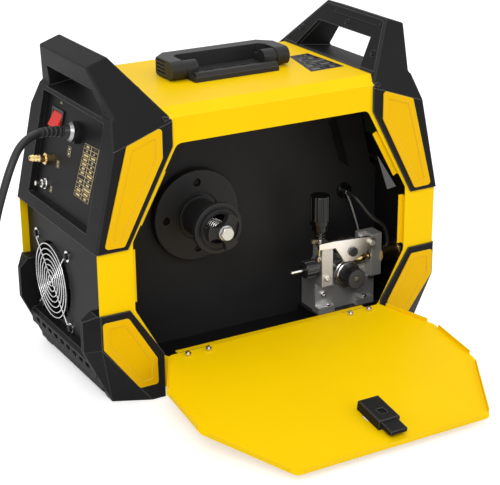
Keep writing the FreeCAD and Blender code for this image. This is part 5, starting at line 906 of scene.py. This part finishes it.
pane_corners = [on_front_plate(across, height, PANE_DEPTH) for across, height in (
    (-PANE_HALF, PANE_LOW), (PANE_HALF, PANE_LOW), (PANE_HALF, PANE_HIGH), (-PANE_HALF, PANE_HIGH))]
make_plates("display_pane", [pane_corners], (-PLATE_NORMAL[0], 0.0, PLATE_NORMAL[2]), PRINT_THICKNESS, "case",
            display_print)
print("display pane in millimetres:", 2 * PANE_HALF, "by", round(PANE_HIGH - PANE_LOW, 1))

# %% [markdown]
# Small black trims close the four corners where the roof runs under the handle posts. Each is a plate on the
# roof's folded edge, so its height follows from its place across by the fold's slope.

# %% Roof corner trims
TRIM_X = (145.0, 153.5)
TRIM_Y = (8.6, 18.0)
FOLD_SLOPE = 0.5714
FOLD_START = (10.9, 357.06)
FOLD_NORMAL = (0.496, 0.868)
TRIM_THICKNESS = 0.35


def trim_quad(direction, near):
    """A quad on the roof's fold at one end of the case; the far side mirrors the near one about the middle."""
    low, high = [(y, FOLD_START[1] + FOLD_SLOPE * (y - FOLD_START[0])) for y in TRIM_Y]
    first, last = sorted((direction * TRIM_X[0], direction * TRIM_X[1]))
    quad = [(first, *low), (last, *low), (last, *high), (first, *high)]
    return quad if near else [(x, 2 * SIDE_SHIFT - y, z) for x, y, z in quad[::-1]]


for near, side, name in ((True, -1, "roof_trim_near"), (False, 1, "roof_trim_far")):
    make_plates(name, [trim_quad(-1, near), trim_quad(1, near)], (0.0, side * FOLD_NORMAL[0], FOLD_NORMAL[1]),
                TRIM_THICKNESS, "case", materials["black_plastic"])
print("roof corner trims:", 4)

# %% [markdown]
# The front grip has a raised pad on the slope that faces the roof, the inner wall has a low rib beside the
# gas valve, and a small backing closes the gap behind the opening's slanted stop. The first two are plates,
# and the backing is a flat outline with a depth.

# %% Grip pad and wall rib
GRIP_TOP = (198.0, 426.5)
GRIP_WAY = (0.6247, 0.7809)
PAD_THICKNESS = 0.7
WALL_FACE = -9.0 + SIDE_SHIFT
WALL_RIB_THICKNESS = 1.5


def on_grip(down, across):
    """A point on the front grip's slope: down along the slope from its top edge."""
    return (GRIP_TOP[0] - GRIP_WAY[0] * down, across + SIDE_SHIFT, GRIP_TOP[1] - GRIP_WAY[1] * down)


make_plates("grip_pad", [[on_grip(14.0, 38.0), on_grip(14.0, -67.0), on_grip(4.0, -67.0), on_grip(4.0, 38.0)]],
            (-GRIP_WAY[1], 0.0, GRIP_WAY[0]), PAD_THICKNESS, "case", materials["black_plastic"])
make_plates("wall_rib", [[(167.0, WALL_FACE, 222.8), (185.3, WALL_FACE, 208.2), (162.8, WALL_FACE, 282.9),
                          (150.0, WALL_FACE, 279.3)]], (0, -1, 0), WALL_RIB_THICKNESS, "case",
            materials["black_paint"])
print("pad and rib ready")

# %% Stop backing
BACKING_DEPTH = (12.2, 13.4)


def make_prism(name, outline, depth, body, finish):
    """A flat piece with an outline in x and z, clockwise from the front, between two depths in y."""
    flat = np.array(outline, dtype=float)
    count = len(flat)
    front = np.insert(flat, 1, depth[0], axis=1)
    back = np.insert(flat, 1, depth[1], axis=1)
    here = np.arange(count)
    after = (here + 1) % count
    sides = np.stack([here, after, after + count, here + count], axis=1)
    faces = [here[::-1], here + count, *sides]
    return make_piece(name, np.concatenate([front, back]) * MM, faces, body, finish)


make_prism("stop_backing", [(153.0, 262.0), (157.8, 255.2), (183.7, 215.2), (170.1, 213.5)], BACKING_DEPTH,
           "case", materials["grey_paint"])
print("stop backing ready")

# %% [markdown]
# ## Thin tube and outlet bush at the wire drive
# A thin pale tube runs from the grommet down behind the drive. It is one more cord.

# %% Thin tube
TUBE_DIAMETER = 0.0026
TUBE_POINTS = [(178.0, 124.6, 176.0), (178.5, 119.0, 174.0), (181.0, 112.0, 160.0), (186.0, 107.5, 138.0),
               (189.4, 104.5, 122.0), (190.0, 103.5, 112.0)]
thin_tube = add_cord("thin_tube", TUBE_POINTS, TUBE_DIAMETER, "case", 10)
thin_tube.data.materials.append(materials["pale_rubber"])
print("thin tube control points:", len(TUBE_POINTS))

# %% [markdown]
# A brass bush guides the wire from the rollers into the torch socket. It is a turned profile, so it is a
# sleeve along the wire's line with a radius at each step.

# %% Outlet bush
WIRE_LINE = (74.35, 96.0)
bush_x = np.array([162.5, 163.0, 166.0, 169.0, 171.5, 172.0, 176.5, 177.5])
bush_radius = np.array([0.6, 2.4, 5.2, 6.3, 6.5, 5.9, 5.9, 4.6])
bush_centres = np.column_stack([bush_x, np.tile(WIRE_LINE, (len(bush_x), 1))])
outlet_bush = make_sleeve("outlet_bush", bush_centres, bush_radius, "case", materials["brass"])
print("bush faces:", len(outlet_bush.data.polygons))

# %% [markdown]
# ## Floor and light
# A pale floor that keeps the object's soft shadow, an even surround and three large soft lamps, as in a
# product picture. The surround is plain white to the camera and in reflections, and dimmer as a light.

# %% Floor and light
FLOOR_HALF = 6.0
FLOOR_DROP = 0.0005
FLOOR_TONE = 0.86
FLOOR_ROUGHNESS = 0.95
FLOOR_GLOW = 0.52
SURROUND_LIGHT = 0.55


def straight_view(tree, links):
    """One where a ray comes from the camera, a mirror or a clear piece, and zero for light on the object."""
    path = tree.new("ShaderNodeLightPath")
    value = path.outputs["Is Camera Ray"]
    for name in ("Is Glossy Ray", "Is Transmission Ray"):
        either = tree.new("ShaderNodeMath")
        either.operation = "MAXIMUM"
        links.new(value, either.inputs[0])
        links.new(path.outputs[name], either.inputs[1])
        value = either.outputs["Value"]
    return value


def add_floor():
    """A wide pale floor that keeps the object's shadow and shows nearly white."""
    mesh = bpy.data.meshes.new("floor")
    mesh.from_pydata([(-FLOOR_HALF, -FLOOR_HALF, 0), (FLOOR_HALF, -FLOOR_HALF, 0),
                      (FLOOR_HALF, FLOOR_HALF, 0), (-FLOOR_HALF, FLOOR_HALF, 0)], [], [(0, 1, 2, 3)])
    floor = bpy.data.objects.new("floor", mesh)
    bpy.context.scene.collection.objects.link(floor)
    floor.location.z = -FLOOR_DROP
    material = bpy.data.materials.new("floor_white")
    material.use_nodes = True
    tree = material.node_tree.nodes
    links = material.node_tree.links
    shader = tree["Principled BSDF"]
    shader.inputs["Base Color"].default_value = (FLOOR_TONE, FLOOR_TONE, FLOOR_TONE, 1.0)
    shader.inputs["Roughness"].default_value = FLOOR_ROUGHNESS
    shader.inputs["Specular IOR Level"].default_value = 0.1
    shader.inputs["Emission Color"].default_value = (1.0, 1.0, 1.0, 1.0)
    lift = map_range(tree, links, straight_view(tree, links), 0.0, 1.0, 0.0, FLOOR_GLOW)
    links.new(lift, shader.inputs["Emission Strength"])
    mesh.materials.append(material)


def add_world():
    """An even surround: white to the camera and in reflections, softer as a light."""
    world = bpy.data.worlds.new("surround")
    world.use_nodes = True
    bpy.context.scene.world = world
    tree = world.node_tree.nodes
    links = world.node_tree.links
    level = map_range(tree, links, straight_view(tree, links), 0.0, 1.0, SURROUND_LIGHT, 1.0)
    links.new(level, tree["Background"].inputs["Strength"])
    tree["Background"].inputs["Color"].default_value = (1.0, 1.0, 1.0, 1.0)


add_floor()
add_world()
print("floor and surround ready")

# %% [markdown]
# The key lamp stands on the eye's left, the fill on its right, and the top lamp softens the roof. Large
# square lamps give the soft edges of shadows that the photograph has.

# %% Lamps
LAMP_TARGET = (0, 0.1, 0.2)
LAMPS = (("key", (-1.6, -2.0, 2.4), 1.6, 46.0), ("fill", (1.8, -2.2, 1.4), 1.8, 18.0),
         ("top", (0.2, 0.3, 2.6), 1.8, 16.0))


def add_lamp(name, place, size, power):
    """A square soft lamp that looks at the machine."""
    data = bpy.data.lights.new(name, "AREA")
    data.size = size
    data.energy = power
    lamp = bpy.data.objects.new(name, data)
    bpy.context.scene.collection.objects.link(lamp)
    direction = Vector(LAMP_TARGET) - Vector(place)
    lamp.matrix_world = Matrix.Translation(place) @ direction.to_track_quat("-Z", "Y").to_matrix().to_4x4()


for lamp_facts in LAMPS:
    add_lamp(*lamp_facts)
print("lamps:", len(bpy.data.lights))
